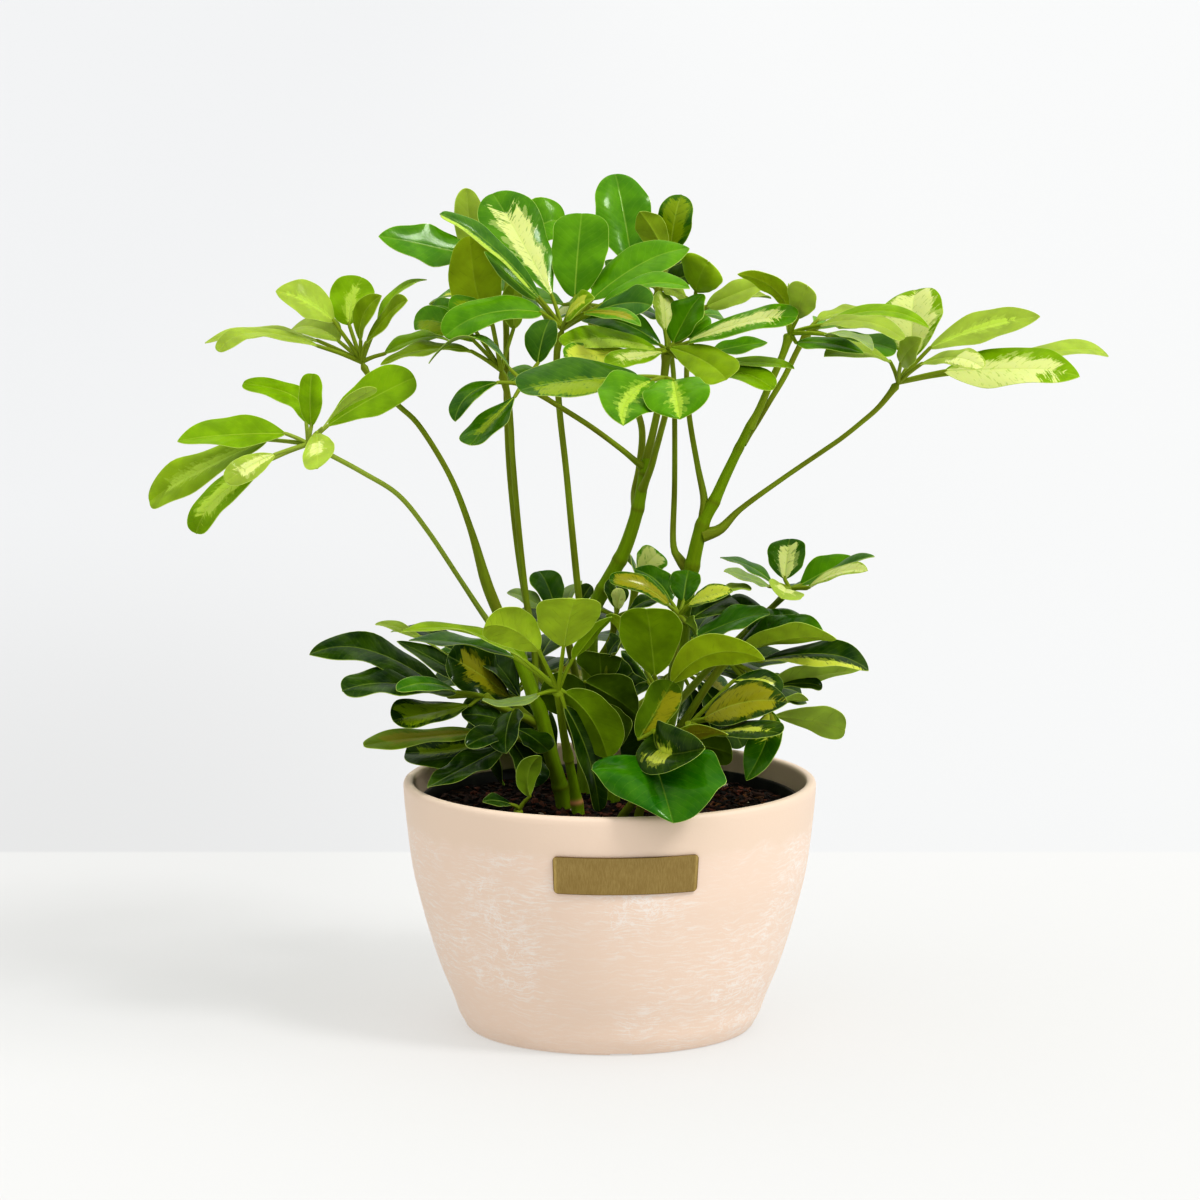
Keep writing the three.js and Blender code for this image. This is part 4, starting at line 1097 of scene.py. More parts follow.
FRONDS = (
    Frond("leaf_far_left", "leaf_bright", (-147, 282, -25),
        ((-137, 277, -24, 1.2), (-120, 267.8, -21, 1.2), (-103, 257, -17, 1.2),
         (-88.8, 239.6, -12, 1.2), (-73.2, 216.2, -7, 1.2), (-62, 199.3, -3, 1.4),
         (-52.3, 186, 1, 1.8)), (
        B((-211, 284, -34), (-158, 287), 24, 52, "pointed", G.BRIGHT, via=(-185, 286.3)),
        B((-225, 254, -10), (-167, 284), 25.5, 52, "strap", G.LIME, P.STRIPE, C.LIME, via=(-200, 269)),
        B((-203.5, 240, -48), (-166, 274), 19, 48, "strap", G.BRIGHT, P.CENTRE, C.LIME, via=(-189, 258)),
        B((-187, 264, -62), (-163, 277), 13, 20, "obovate", G.PALE, P.CENTRE, C.CREAM),
        B((-179, 311, 0), (-148, 292.5), 14, 38, "strap", G.BRIGHT, via=(-154.5, 305.3)),
        B((-145.5, 316.5, -26), (-145.5, 291), 12, 20, "strap", G.BRIGHT),
        B((-95, 314.3, -18), (-138, 290.5), 25, 38, "obovate", G.BRIGHT, via=(-117.5, 303.3)),
        B((-114, 309, -42), (-141, 289), 11, 125, "spoon", G.PALE, via=(-129, 301)),
        B((-142.5, 270, -70), (-143, 287.5), 15, 8, "obovate", G.PALE, P.BLOTCH, C.CREAM, shear=0.75)),
        stem=(156, 174, 72), brown=0.08),
    Frond("leaf_high_left", "leaf_bright", (-121, 322, 12),
        ((-117, 315, 11, 1.3), (-103.6, 301.3, 10, 1.3), (-92.7, 290.6, 9, 1.3), (-78, 266.5, 7, 1.35),
         (-68, 241, 5, 1.6), (-61, 217, 5, 2.7), (-57, 206, 5, 2.8), (-51, 192, 4, 2.6)), (
        B((-198, 333.1, 18), (-142, 332.2), 19, 75, "pointed", G.PALE, via=(-169, 335.9)),
        B((-192, 329.2, -14), (-142, 329.7), 13, 65, "strap", G.PALE, via=(-172, 336.2)),
        B((-158, 337, 45), (-132, 332), 24, 62, "pointed", G.PALE, via=(-145, 339)),
        B((-162.5, 357.5, 4), (-134.5, 341.5), 22, 44, "pointed", G.PALE, P.STRIPE, C.LIME, via=(-147, 351)),
        B((-121, 363.5, 34), (-127, 340), 22.5, 22, "round", G.BRIGHT, P.STRIPE, C.LIME, via=(-126, 351.4)),
        B((-111.5, 354.5, 2), (-121.5, 332), 13.5, 50, "pointed", G.OLIVE, via=(-120, 345)),
        B((-100, 352.5, -16), (-119, 331), 15, 64, "pointed", G.OLIVE, via=(-108, 345)),
        B((-90, 364.5, 36), (-113, 341), 11, 70, "pointed", G.BRIGHT, via=(-104.5, 354.8)),
        B((-77, 333.5, 22), (-110, 326), 18, 72, "pointed", G.BRIGHT, via=(-93, 333.3))), brown=0.33),
    Frond("leaf_centre_left", "leaf_bright", (-53, 318, 0),
        ((-49.6, 305, 0, 1.5), (-48.1, 290, 1, 1.35), (-47.3, 275, 1, 1.35), (-44.3, 240, 3, 1.4),
         (-40.3, 203, 6, 1.55), (-36.5, 180, 6, 1.65), (-36.8, 160, 2, 1.8)), (
        B((-112, 321, -4), (-67, 327), 20, 74, "pointed", G.OLIVE, via=(-89, 328)),
        B((-67, 383, 20), (-57, 340), 27, 163, "round", G.OLIVE, via=(-65, 358)),
        B((-46, 362, 30), (-47, 338), 13, 150, "pointed", G.LIME),
        B((-96, 342, 10), (-66, 332), 18, 48, "strap", G.MID, P.LEFT, C.OLIVE, via=(-82, 341)),
        B((-88, 349.5, 30), (-65, 336.5), 12, 40, "obovate", G.MID, via=(-77, 347.5)),
        B((-78, 347.5, -10), (-58, 343), 14, 52, "obovate", G.MID, P.CENTRE, C.OLIVE, via=(-68, 348.5)),
        B((-32, 318, 60), (-49, 312), 14, 60, "pointed", G.MID)), brown=0.33),
    Frond("leaf_back_left", "leaf_bright", (-52, 350, 50),
        ((-50.5, 340, 42, 1.5), (-50.3, 300, 26, 1.4), (-48.3, 262, 16, 1.4), (-42.5, 215, 14, 1.5),
         (-33, 175, 16, 1.8), (-20, 146, 30, 2), (-15, 134, 44, 2.2)), (
        B((-112, 384.5, 30), (-64, 373.5), 23.5, 40, "pointed", G.GLOSSY, via=(-88.5, 378.5)),
        B((-68.5, 406.5, 50), (-61, 370), 19, 32, "round", G.PALE, via=(-68, 388)),
        B((-21, 391, 66), (-49, 366), 26, 30, "obovate", G.MID, via=(-36, 386.5)),
        B((-62, 372, 100), (-56, 356), 24, 70, "obovate", G.MID),
        B((-88, 352, 82), (-62, 353), 22, 74, "pointed", G.MID, P.STRIPE),
        B((-30, 345, 95), (-46, 350), 22, 72, "obovate", G.DEEP))),
    Frond("leaf_top_centre", "leaf_bright", (-23, 338, -8),
        ((-25.8, 325, -8, 1.6), (-24.6, 300, -6, 1.5), (-21.3, 270, -3, 1.5), (-18.4, 240, 1, 1.6),
         (-15.2, 209, 6, 1.7), (-12, 185, 14, 1.8), (-9, 172, 20, 2)), (
        B((-57, 404.5, 22), (-28, 354), 31, 32, "obovate", G.GLOSSY, P.CENTRE, C.CREAM, via=(-42.5, 380)),
        B((-13.5, 394.5, 22), (-17, 353.5), 28, 8, "strap", G.MID),
        B((39, 379, 14), (-9, 352), 26, 46, "pointed", G.MID, via=(14, 369)),
        B((39, 357.5, -22), (-4, 350), 19, 68, "pointed", G.MID, via=(18, 360)),
        B((-82, 395, -14), (-34, 353), 13, 56, "strap", G.BLUISH, P.LEFT_EDGE, C.LIME,
          via=(-57, 378), fold=18),
        B((-81, 337, -34), (-33, 346), 21, 48, "strap", G.MID, via=(-57, 346)),
        B((-9, 354, -44), (-21, 343), 14, 60, "pointed", G.BRIGHT, P.CENTRE),
        B((20, 350, -40), (-8, 346), 17, 42, "obovate", G.BLUISH, via=(7, 350.5)),
        B((15, 341, -62), (-13, 345.5), 10, 55, "pointed", G.MID, P.CENTRE, C.MUSTARD, via=(2, 345.5)),
        B((-60, 377, 2), (-35, 352), 14, 50, "pointed", G.MID, via=(-48, 363))), brown=0.28),
    Frond("leaf_drooping_left", "leaf_dark", (-42, 311, -44),
        ((-29, 303, -36, 1.25), (-10, 291, -22, 1.3), (5, 280, -9, 1.35), (12, 274.2, 2, 1.5),
         (16.5, 270.8, 8, 1.8)), (
        B((-90, 323, -34), (-48, 318), 19, 86, "pointed", G.DEEP, via=(-67, 334)),
        B((-75.5, 293, -60), (-54, 312), 15, 56, "pointed", G.DEEP, via=(-69, 305.5)),
        B((-68.5, 282.5, -74), (-46, 305.5), 20, 50, "notched", G.DEEP, P.STRIPE, C.OLIVE, via=(-57, 293.5)),
        B((-29.5, 343, -34), (-35, 321.5), 17, 30, "round", G.DEEP)), brown=0.39),
    Frond("leaf_centre", "leaf_bright", (28, 327, 6),
        ((26, 310, 6, 1.7), (23.6, 299, 6, 1.7), (21, 287, 6.5, 1.8), (18.5, 277, 7, 2),
         (17, 270, 8, 2.2)), (
        B((45, 356, 14), (31, 331), 23, 48, "pointed", G.MID, via=(38, 345)),
        B((91, 345, -28), (38, 331.5), 19, 58, "strap", G.MID, P.CENTRE, C.CREAM, via=(65, 341)),
        B((56.8, 314, -32), (29, 329), 21, 30, "blunt", G.LIME, via=(45, 323)),
        B((-14, 344, 12), (25, 330), 19, 52, "pointed", G.DEEP, via=(6, 341)),
        B((-23, 331.5, -32), (23, 328), 18, 58, "strap", G.BRIGHT, P.LEFT, C.LIME, via=(0, 333.5)),
        B((-22, 325, -46), (17, 325.5), 16, 50, "obovate", G.MID, P.WIDE, via=(-2, 325.5)),
        B((0, 323, -54), (26, 327), 12, 45, "obovate", G.BRIGHT, P.CENTRE, C.CREAM, via=(13, 324.5)),
        B((25, 357, 22), (27, 337), 15, 40, "pointed", G.PALE, P.CENTRE, C.CREAM),
        B((49, 344, 12), (37, 334), 15, 40, "pointed", G.MID),
        B((77, 332, 14), (50, 327), 15, 58, "pointed", G.MID, via=(63, 329.5)),
        B((90, 320, -20), (46, 321), 12, 68, "pointed", G.BRIGHT, via=(72, 321.5)),
        B((80, 311, -26), (42, 319), 16, 55, "strap", G.BRIGHT, via=(62, 317)))),
    Frond("leaf_front_centre_top", "leaf_bright", (27, 314, -60),
        ((27.5, 305, -47, 1.6), (27.5, 298, -37, 1.5), (25, 288, -23, 1.5), (22.5, 279, -11, 1.6),
         (20, 270, -3, 1.7), (16, 260, 7, 1.9)), (
        B((-44, 309, -88), (14, 315), 30, 55, "strap", G.DEEP, P.LEFT, C.OLIVE, via=(-16, 313)),
        B((6.8, 291.6, -104), (21, 313), 31, 16, "pointed", G.MID, P.WEDGE, C.LIME, via=(8.5, 303), fold=24),
        B((34.3, 294.5, -100), (31, 313), 31, 4, "obovate", G.MID, P.WEDGE, C.LIME, fold=26)),
        brown=0.33),
    Frond("leaf_top_back", "leaf_bright", (22, 352, 56),
        ((28, 335, 46, 1.2), (31, 318, 36, 1.2), (31.7, 296, 26, 1.25), (31.7, 262, 15, 1.3),
         (31, 234, 8, 1.5), (34, 226, 6, 2.2), (39, 220, 3, 2.7)), (
        B((3.2, 414.5, 84), (11.5, 368), 28.2, 14, "round", G.GLOSSY, via=(7.5, 391)),
        B((34.5, 404, 62), (29.5, 374), 18.5, 20, "round", G.DEEP, P.WIDE, C.OLIVE),
        B((14.5, 396, 48), (27, 376), 15, 160, "pointed", G.LIME),
        B((40, 365, 34), (26, 358), 16, 35, "obovate", G.DARK),
        B((33, 374, 88), (27, 362), 16, 40, "obovate", G.DARK),
        B((-2, 372, 62), (13, 357), 13, 40, "pointed", G.DEEP),
        B((30, 350, 112), (25, 352), 24, 80, "obovate", G.DEEP),
        B((-4, 345, 74), (12, 351), 18, 76, "pointed", G.DEEP)), brown=0.5),
    Frond("leaf_right_of_centre", "leaf_bright", (42, 346, 30),
        ((40, 332, 26, 1.25), (37.6, 318, 22, 1.25), (38.8, 296, 14, 1.3), (42.8, 272, 6, 1.4),
         (46, 256, 2, 1.8), (46, 246, 1, 2.2)), (
        B((47.5, 371.2, 14), (42, 356), 24, 25, "notched", G.LIME),
        B((78, 361.5, 20), (47, 349), 17, 48, "pointed", G.PALE, via=(61, 355)),
        B((79, 354, 42), (51, 349.5), 17, 80, "pointed", G.PALE, via=(65, 353.5)),
        B((26, 358, 22), (38, 353), 13, 55, "obovate", G.PALE),
        B((58, 340, 78), (46, 345), 20, 72, "obovate", G.MID))),
    Frond("leaf_right", "leaf_bright", (88, 336, -6),
        ((84.3, 325, -6, 1.7), (78.6, 312, -5.5, 1.7), (73, 299, -4.5, 1.8), (68.3, 290, -3, 1.9)), (
        B((62.5, 366.3, -14), (87.5, 347), 12.5, 135, "pointed", G.OLIVE, via=(79.5, 358.6)),
        B((96.3, 359, -30), (91.5, 343), 16, 25, "notched", G.PALE),
        B((144, 336, -36), (103, 340), 17, 66, "strap", G.PALE, via=(122, 341.8)),
        B((129, 329.5, -56), (105, 335.5), 14, 76, "pointed", G.GREYISH),
        B((124, 326.5, -40), (91, 331.5), 15, 62, "pointed", G.MID, via=(106, 331)),
        B((86, 352, 44), (87, 342), 22, 66, "obovate", G.BRIGHT)),
        stem=(152, 174, 40), brown=0.1),
    Frond("leaf_right_back", "leaf_bright", (97, 337, 16),
        ((91.8, 328, 15, 1.4), (85.4, 315, 12, 1.4), (78.5, 303.5, 9, 1.35), (71.3, 291.5, 5, 1.35),
         (67.6, 286, 1, 1.45), (65, 282, -2, 1.5)), (
        B((157, 340.5, 4), (104, 340), 14, 66, "pointed", G.BRIGHT, via=(131, 346.8)),
        B((129, 349, 32), (101, 342), 15, 72, "pointed", G.PALE, via=(114, 346.5)),
        B((140, 329, 10), (108, 334.5), 20, 62, "strap", G.MID, via=(125, 331.5)),
        B((112, 338, 70), (101, 338), 22, 74, "obovate", G.MID)), brown=0.33),
    Frond("leaf_far_right", "leaf_bright", (141, 312, 12),
        ((131.5, 300.2, 11, 1.3), (122.2, 292, 10, 1.2), (113.3, 284.9, 9, 1.2), (104.5, 278.8, 8, 1.2),
         (85, 265.5, 6, 1.2), (64, 250.3, 4, 1.4), (54, 240.5, 2, 2.5), (45, 237.5, 1, 3)), (
        B((149, 358.7, 44), (148, 324), 32, 22, "round", G.BRIGHT, P.WIDE, C.CREAM),
        B((210, 344.5, 6), (156, 328.5), 22, 50, "pointed", G.PALE, P.STRIPE, C.LIME, via=(182, 338.7)),
        B((244.5, 326.5, 24), (172, 317), 19.5, 68, "pointed", G.PALE, via=(219, 327.2)),
        B((228.5, 318.5, -24), (163, 317.5), 29, 48, "pointed", G.BRIGHT, P.LOWER, C.CREAM,
          via=(197.5, 318.6)),
        B((181, 322, -44), (152, 321), 13, 58, "strap", G.PALE, P.TIP, C.CREAM, via=(166, 324)),
        B((105, 326, -26), (137, 322), 19, 66, "pointed", G.PALE, via=(122, 327)),
        B((152, 333.5, -34), (142, 321), 13, 30, "pointed", G.PALE)), brown=0.33),
    Frond("leaf_low_left_outer", "leaf_dark", (-62, 159, -14),
        ((-52, 153, -11, 1.8), (-36, 146, -1, 2)), (
        B((-147, 182.8, -24), (-78, 158.5), 23.5, 54, "pointed", G.DARK, via=(-113, 179.8)),
        B((-129.5, 164.8, -48), (-75, 160.5), 22, 60, "strap", G.DARK, via=(-103, 164.8)),
        B((-103, 163, -70), (-74, 161), 10, 48, "obovate", G.BLUISH, via=(-88, 165)),
        B((-105.5, 147.7, -40), (-68, 154.5), 23, 55, "obovate", G.DARK, P.WIDE, C.OLIVE,
          via=(-87, 150.8)))),
    Frond("leaf_low_left_inner", "leaf_dark", (-53, 143, -10),
        ((-46, 139, -7, 1.8), (-32, 133, 0, 2)), (
        B((-120, 135.5, -26), (-63, 141), 19, 64, "strap", G.OLIVE, P.CENTRE, C.MUSTARD, via=(-92, 138.7)),
        B((-99.5, 133, -8), (-59, 138), 26, 50, "strap", G.DARK, P.STRIPE, C.OLIVE, via=(-80, 132)),
        B((-89, 114.5, -44), (-52, 134), 20, 52, "pointed", G.DARK, via=(-69, 125)),
        B((-69, 136, -52), (-46, 141), 12, 40, "obovate", G.DARK),
        B((-51, 131.5, -48), (-47, 152), 20, 40, "pointed", G.DARK),
        B((-58, 121, 32), (-55, 138), 24, 42, "obovate", G.DARK),
        B((-72, 150, -20), (-50, 146), 22, 50, "obovate", G.DARK),
        B((-36, 115, -30), (-49, 138), 20, 44, "obovate", G.DARK),
        B((-30, 132, -22), (-46, 143), 20, 58, "obovate", G.DARK))),
    Frond("leaf_mid_left", "leaf_dark", (-48, 158, 14),
        ((-43, 152, 10, 1.8), (-34, 144, 2, 2)), (
        B((-79, 178.5, 0), (-49, 158), 28, 35, "obovate", G.DARK, P.CENTRE, C.MUSTARD),
        B((-103, 187, 16), (-60, 163), 17, 52, "pointed", G.DARK, via=(-81, 174)),
        B((-114, 196, 26), (-76, 177.5), 11, 60, "spoon", G.PALE, via=(-97, 189.5)),
        B((-107, 192, 40), (-68, 178), 16, 62, "pointed", G.DARK, via=(-86, 189)),
        B((-62, 181, 20), (-44, 158), 26, 60, "obovate", G.DARK),
        B((-29, 143, 50), (-41, 157), 22, 60, "obovate", G.DARK),
        B((-26, 178, 46), (-41, 164), 24, 56, "obovate", G.DARK))),
    Frond("leaf_front_whorl", "leaf_bright", (-25, 162, -44),
        ((-24, 152, -34, 1.9), (-22.5, 141, -24, 1.9), (-20.5, 131, -16.5, 2.2),
         (-20, 128, -15, 2.2)), (
        B((-102, 190, -50), (-41, 176), 20, 78, "pointed", G.LIME, via=(-71, 190.5)),
        B((-98, 186, -24), (-46, 177.5), 21, 76, "pointed", G.DEEP, via=(-71, 184.5)),
        B((-62, 194.5, -80), (-34.5, 181), 22, 160, "round", G.LIME, via=(-47, 191.5)),
        B((-17, 206.5, -82), (-22.5, 183), 31, 165, "round", G.LIME),
        B((0, 199, -58), (-18, 177), 14, 118, "pointed", G.MID, via=(-10, 187)),
        B((-1, 129, -42), (-22, 161), 23, 158, "round", G.DEEP, via=(-9, 148)),
        B((-5, 103, -38), (-22, 154), 15, 40, "strap", G.DARK, via=(-11, 131)),
        B((-62, 157, -56), (-34, 160), 9, 62, "strap", G.GREYISH, via=(-48, 155.5))),
        stem=(150, 172, 40), brown=0.1),
    Frond("leaf_front_right_whorl", "leaf_bright", (25, 157, -48),
        ((23, 142, -43, 1.9), (21, 122, -34, 2), (15, 104, -24, 2.2), (13, 94, -22, 2.2)), (
        B((18, 202.5, -80), (22, 169), 30, 172, "round", G.DEEP),
        B((76, 177, -74), (30, 165), 19, 145, "pointed", G.OLIVE, via=(50, 180)),
        B((-1, 200, -50), (18, 171), 13, 120, "pointed", G.OLIVE, via=(8, 190)),
        B((6, 182, -38), (19, 166), 11, 45, "pointed", G.DARK))),
    Frond("leaf_front_low", "leaf_dark", (23, 142, -70),
        ((21, 130, -58, 1.9), (16, 114, -44, 2), (6, 100, -33, 2.1), (4, 94, -30, 2.1)), (
        B((30, 166.5, -66), (14, 138), 18, 160, "strap", G.DARK, P.LEFT, C.MUSTARD, via=(23, 153)),
        B((44, 134.5, -112), (22, 141), 25, 5, "round", G.DARK, P.BLOTCH, via=(27, 131), fold=30),
        B((31, 97.5, -112), (22, 128), 60, 0, "broad", G.RICH, fold=16, shear=-0.4))),
    Frond("leaf_front_right", "leaf_dark", (40, 146, -36),
        ((34, 132, -28, 1.9), (28, 114, -19, 2.1), (26, 94, -16, 2.2)), (
        B((86, 157, -64), (46, 148), 25, 40, "pointed", G.DARK, P.WIDE, C.MUSTARD, via=(64, 155.5)),
        B((83, 141.5, -88), (48, 140.5), 17, 58, "obovate", G.DARK, P.STRIPE, via=(66, 142.5)),
        B((84, 161, -40), (60, 166), 17, 45, "obovate", G.DARK, P.STRIPE, via=(73, 166)),
        B((66, 118.5, -64), (78, 152), 18, 30, "pointed", G.DEEP, P.BASE, via=(76, 136)),
        B((60, 131, -50), (36, 136), 18, 150, "obovate", G.DARK),
        B((58, 140.5, -74), (32, 137), 15, 118, "pointed", G.OLIVE, P.WIDE, C.MUSTARD, via=(45, 141.5)))),
    Frond("leaf_right_whorl", "leaf_dark", (57, 177, -10),
        ((47, 163, -10, 1.9), (36, 146, -5, 2), (26, 134, 3, 2)), (
        B((105, 191.5, -18), (62, 182.5), 23, 62, "pointed", G.DEEP, via=(84, 192)),
        B((111, 187.5, -46), (64, 181), 20, 118, "pointed", G.LIME, via=(88, 187.5)),
        B((127, 174, -30), (74, 176), 23, 60, "pointed", G.DARK, P.RIGHT_EDGE, via=(103, 179.5)),
        B((122, 172, -8), (74, 163), 17, 122, "pointed", G.PALE, via=(99, 169)),
        B((104, 164, -12), (82, 164), 9, 55, "obovate", G.DARK, via=(94, 165)),
        B((78, 200, -27), (40, 186.5), 22, 60, "pointed", G.BLUISH, via=(61, 195.5)),
        B((77, 202, 2), (50, 194), 21, 62, "pointed", G.DARK, via=(64, 202)),
        B((98, 197, 20), (67, 190), 19, 62, "pointed", G.DEEP, via=(83, 197)),
        B((115.3, 143.3, -24), (80, 149.5), 21, 132, "notched", G.PALE, via=(98, 147.3)),
        B((97, 157, 10), (81, 156), 9, 112, "pointed", G.PALE),
        B((72, 170, 56), (62, 174), 22, 76, "obovate", G.DARK),
        B((95, 160, 26), (72, 163), 20, 48, "obovate", G.DARK))),
    Frond("leaf_small_centre", "leaf_bright", (34, 198, -22),
        ((33, 188, -18, 1.5), (31, 172, -12, 1.6), (28, 156, -4, 1.8), (27, 146, 3, 1.8)), (
        B((38.5, 220.5, -8), (36, 205), 15, 12, "round", G.DEEP),
        B((0, 216, -28), (29, 203), 12, 46, "strap", G.DEEP, P.WIDE, C.MUSTARD, via=(16, 212.5)),
        B((12, 221, -6), (30, 205), 16, 40, "pointed", G.DEEP, via=(23, 215)),
        B((60, 210, -34), (38, 203), 13, 52, "pointed", G.DEEP, P.WIDE, via=(49, 208.3)),
        B((69, 213, -6), (44, 208), 10, 66, "spoon", G.PALE, via=(57, 211.2)),
        B((43, 189, -50), (37, 195), 11, 120, "pointed", G.BLUISH),
        B((60, 208, 6), (39, 196), 20, 35, "obovate", G.DARK, via=(50, 203)))),
    Frond("leaf_small_right", "leaf_bright", (88, 211, 6),
        ((80, 203, 22, 1.5), (66, 190, 30, 1.6), (50, 174, 26, 1.8), (38, 161, 16, 1.9),
         (30, 152, 4, 1.9)), (
        B((87.8, 236, 20), (85.5, 216), 19, 8, "round", G.DEEP, P.CENTRE, C.CREAM),
        B((54, 226.8, 12), (79, 214.5), 15, 72, "pointed", G.BLUISH, via=(68, 222.3)),
        B((56, 220.3, -12), (78, 212.5), 13, 70, "pointed", G.GREYISH, via=(67, 216.8)),
        B((84, 207, -34), (86, 211), 18, 0, "round", G.PALE, P.CENTRE, C.CREAM),
        B((119, 226.5, 14), (93, 213), 18, 50, "pointed", G.MID, via=(106, 220)),
        B((128, 229, -8), (96, 211.5), 14, 76, "pointed", G.BLUISH, via=(114, 221.5)),
        B((126, 220, -24), (97, 212), 12, 64, "pointed", G.PALE, P.WIDE, C.CREAM, via=(112, 219.3)),
        B((92, 213.5, 36), (90, 212), 14, 70, "obovate", G.DEEP)), brown=0.28),
    Frond("leaf_low_back_left", "leaf_dark", (-22, 197, 44),
        ((-20, 185, 44, 1.8), (-15, 160, 50, 2), (-13, 143, 54, 2)), (
        B((-34, 220.6, 56), (-26, 200), 17.5, 28, "obovate", G.DEEP),
        B((-50, 210, 44), (-33, 202), 14, 58, "pointed", G.GREYISH),
        B((-16, 214, 66), (-21, 203), 13, 55, "obovate", G.GREYISH),
        B((-9, 213, 40), (-14, 204), 9, 35, "obovate", G.DARK),
        B((-58, 192, 66), (-30, 196), 22, 68, "pointed", G.DARK),
        B((-16, 192, 92), (-20, 195), 24, 66, "obovate", G.DARK, P.STRIPE),
        B((6, 198, 66), (-13, 198), 20, 66, "pointed", G.DARK))),
    Frond("leaf_tiny_centre", "leaf_dark", (3, 197, 2),
        ((1, 188, 8, 1.5), (-4, 178, 16, 1.6)), (
        B((2, 216, 10), (3, 202), 14, 35, "round", G.DARK),
        B((6, 211, -8), (4, 201), 8, 30, "obovate", G.PALE, P.ALL, C.CREAM),
        B((-21, 204, -6), (-4, 201), 11, 68, "spoon", G.GREYISH),
        B((23, 207, 12), (9, 200), 11, 55, "obovate", G.DARK))),
    Frond("leaf_back_variegated", "leaf_bright", (13, 214, 34),
        ((10, 200, 32, 1.5), (4, 184, 28, 1.6), (-3, 174, 24, 1.6)), (
        B((24.5, 229.7, 42), (14, 219), 17, 22, "obovate", G.MID, P.WIDE, C.CREAM),
        B((31, 215, 52), (18, 214), 10, 66, "pointed", G.GREYISH),
        B((12, 222, 82), (13, 217), 20, 60, "obovate", G.DEEP, P.CENTRE),
        B((38, 208, 70), (17, 213), 18, 70, "pointed", G.DEEP))),
    Frond("leaf_shaded_centre", "leaf_dark", (-2, 161, -8),
        ((-2, 150, 0, 1.8), (-4, 142, 12, 2)), (
        B((-5, 180, -16), (-4, 164), 22, 168, "notched", G.DARK),
        B((14, 150, -22), (-12, 166), 26, 150, "round", G.DARK),
        B((5, 187, -16), (-1, 178), 13, 60, "obovate", G.DARK),
        B((8, 136, -24), (-4, 156), 18, 140, "obovate", G.DARK),
        B((-34, 160, -4), (-8, 158), 24, 150, "round", G.DARK),
        B((20, 176, -6), (2, 162), 22, 40, "obovate", G.DARK))),
    Frond("leaf_by_the_soil", "leaf_bright", (-44, 104, -56),
        ((-47, 96, -52, 1.4), (-49, 90, -50, 1.4)), (
        B((-35, 131, -66), (-39, 110), 13, 148, "round", G.BLUISH, via=(-40, 121)),
        B((-62, 108, -62), (-48, 106), 11, 60, "pointed", G.DARK))),
    Frond("leaf_behind_left", "leaf_dark", (-38, 172, 84),
        ((-28, 162, 76, 1.9), (-15, 145, 60, 2.2)), (
        B((-88, 163, 84), (-50, 172), 24, 62, "obovate", G.DARK),
        B((-70, 150, 116), (-46, 170), 24, 70, "obovate", G.DARK, P.STRIPE),
        B((-32, 150, 132), (-36, 167), 25, 66, "obovate", G.DEEP),
        B((-4, 163, 120), (-27, 171), 24, 64, "pointed", G.DARK, P.CENTRE, C.MUSTARD),
        B((-45, 186, 118), (-40, 175), 24, 60, "pointed", G.DARK),
        B((-84, 180, 100), (-50, 175), 22, 60, "pointed", G.DEEP),
        B((-66, 127, 62), (-43, 165), 26, 34, "obovate", G.DARK),
        B((-38, 124, 74), (-38, 164), 27, 28, "obovate", G.DARK),
        B((-24, 191, 112), (-34, 177), 20, 44, "obovate", G.DARK))),
    Frond("leaf_behind_right", "leaf_dark", (34, 172, 80),
        ((22, 160, 74, 1.9), (2, 146, 64, 2.1), (-11, 140, 56, 2.2)), (
        B((78, 163, 84), (46, 172), 24, 62, "obovate", G.DARK),
        B((62, 148, 116), (42, 170), 24, 70, "obovate", G.DEEP, P.CENTRE, C.MUSTARD),
        B((22, 148, 130), (31, 167), 25, 66, "obovate", G.DARK),
        B((36, 187, 120), (34, 176), 24, 58, "pointed", G.DARK),
        B((74, 184, 106), (46, 176), 22, 60, "pointed", G.DARK, P.STRIPE),
        B((46, 122, 66), (38, 165), 28, 30, "obovate", G.DARK),
        B((14, 122, 78), (30, 164), 28, 30, "obovate", G.DARK),
        B((65, 134, 66), (42, 167), 22, 40, "obovate", G.DARK),
        B((-8, 191, 126), (25, 176), 24, 56, "obovate", G.DARK),
        B((4, 162, 104), (24, 166), 22, 40, "obovate", G.DARK),
        B((50, 201, 108), (38, 178), 22, 50, "obovate", G.DARK),
        B((88, 178, 70), (50, 173), 22, 58, "pointed", G.DARK))),
    Frond("leaf_behind_top", "leaf_dark", (-12, 350, 92),
        ((-6, 335, 80, 1.9), (6, 312, 56, 1.8), (15.3, 292, 36, 1.6), (14.8, 272, 25, 1.8),
         (12.5, 258, 17, 2.2), (13.5, 250, 9, 2.3)), (
        B((-52, 352, 128), (-22, 350), 24, 68, "obovate", G.MID),
        B((-20, 376, 124), (-14, 356), 25, 40, "obovate", G.DEEP, P.STRIPE),
        B((10, 362, 140), (-6, 354), 24, 60, "pointed", G.MID),
        B((26, 344, 122), (0, 348), 24, 70, "obovate", G.DEEP),
        B((-30, 338, 144), (-16, 347), 24, 76, "pointed", G.MID, P.CENTRE, C.CREAM)), brown=0.33),
)


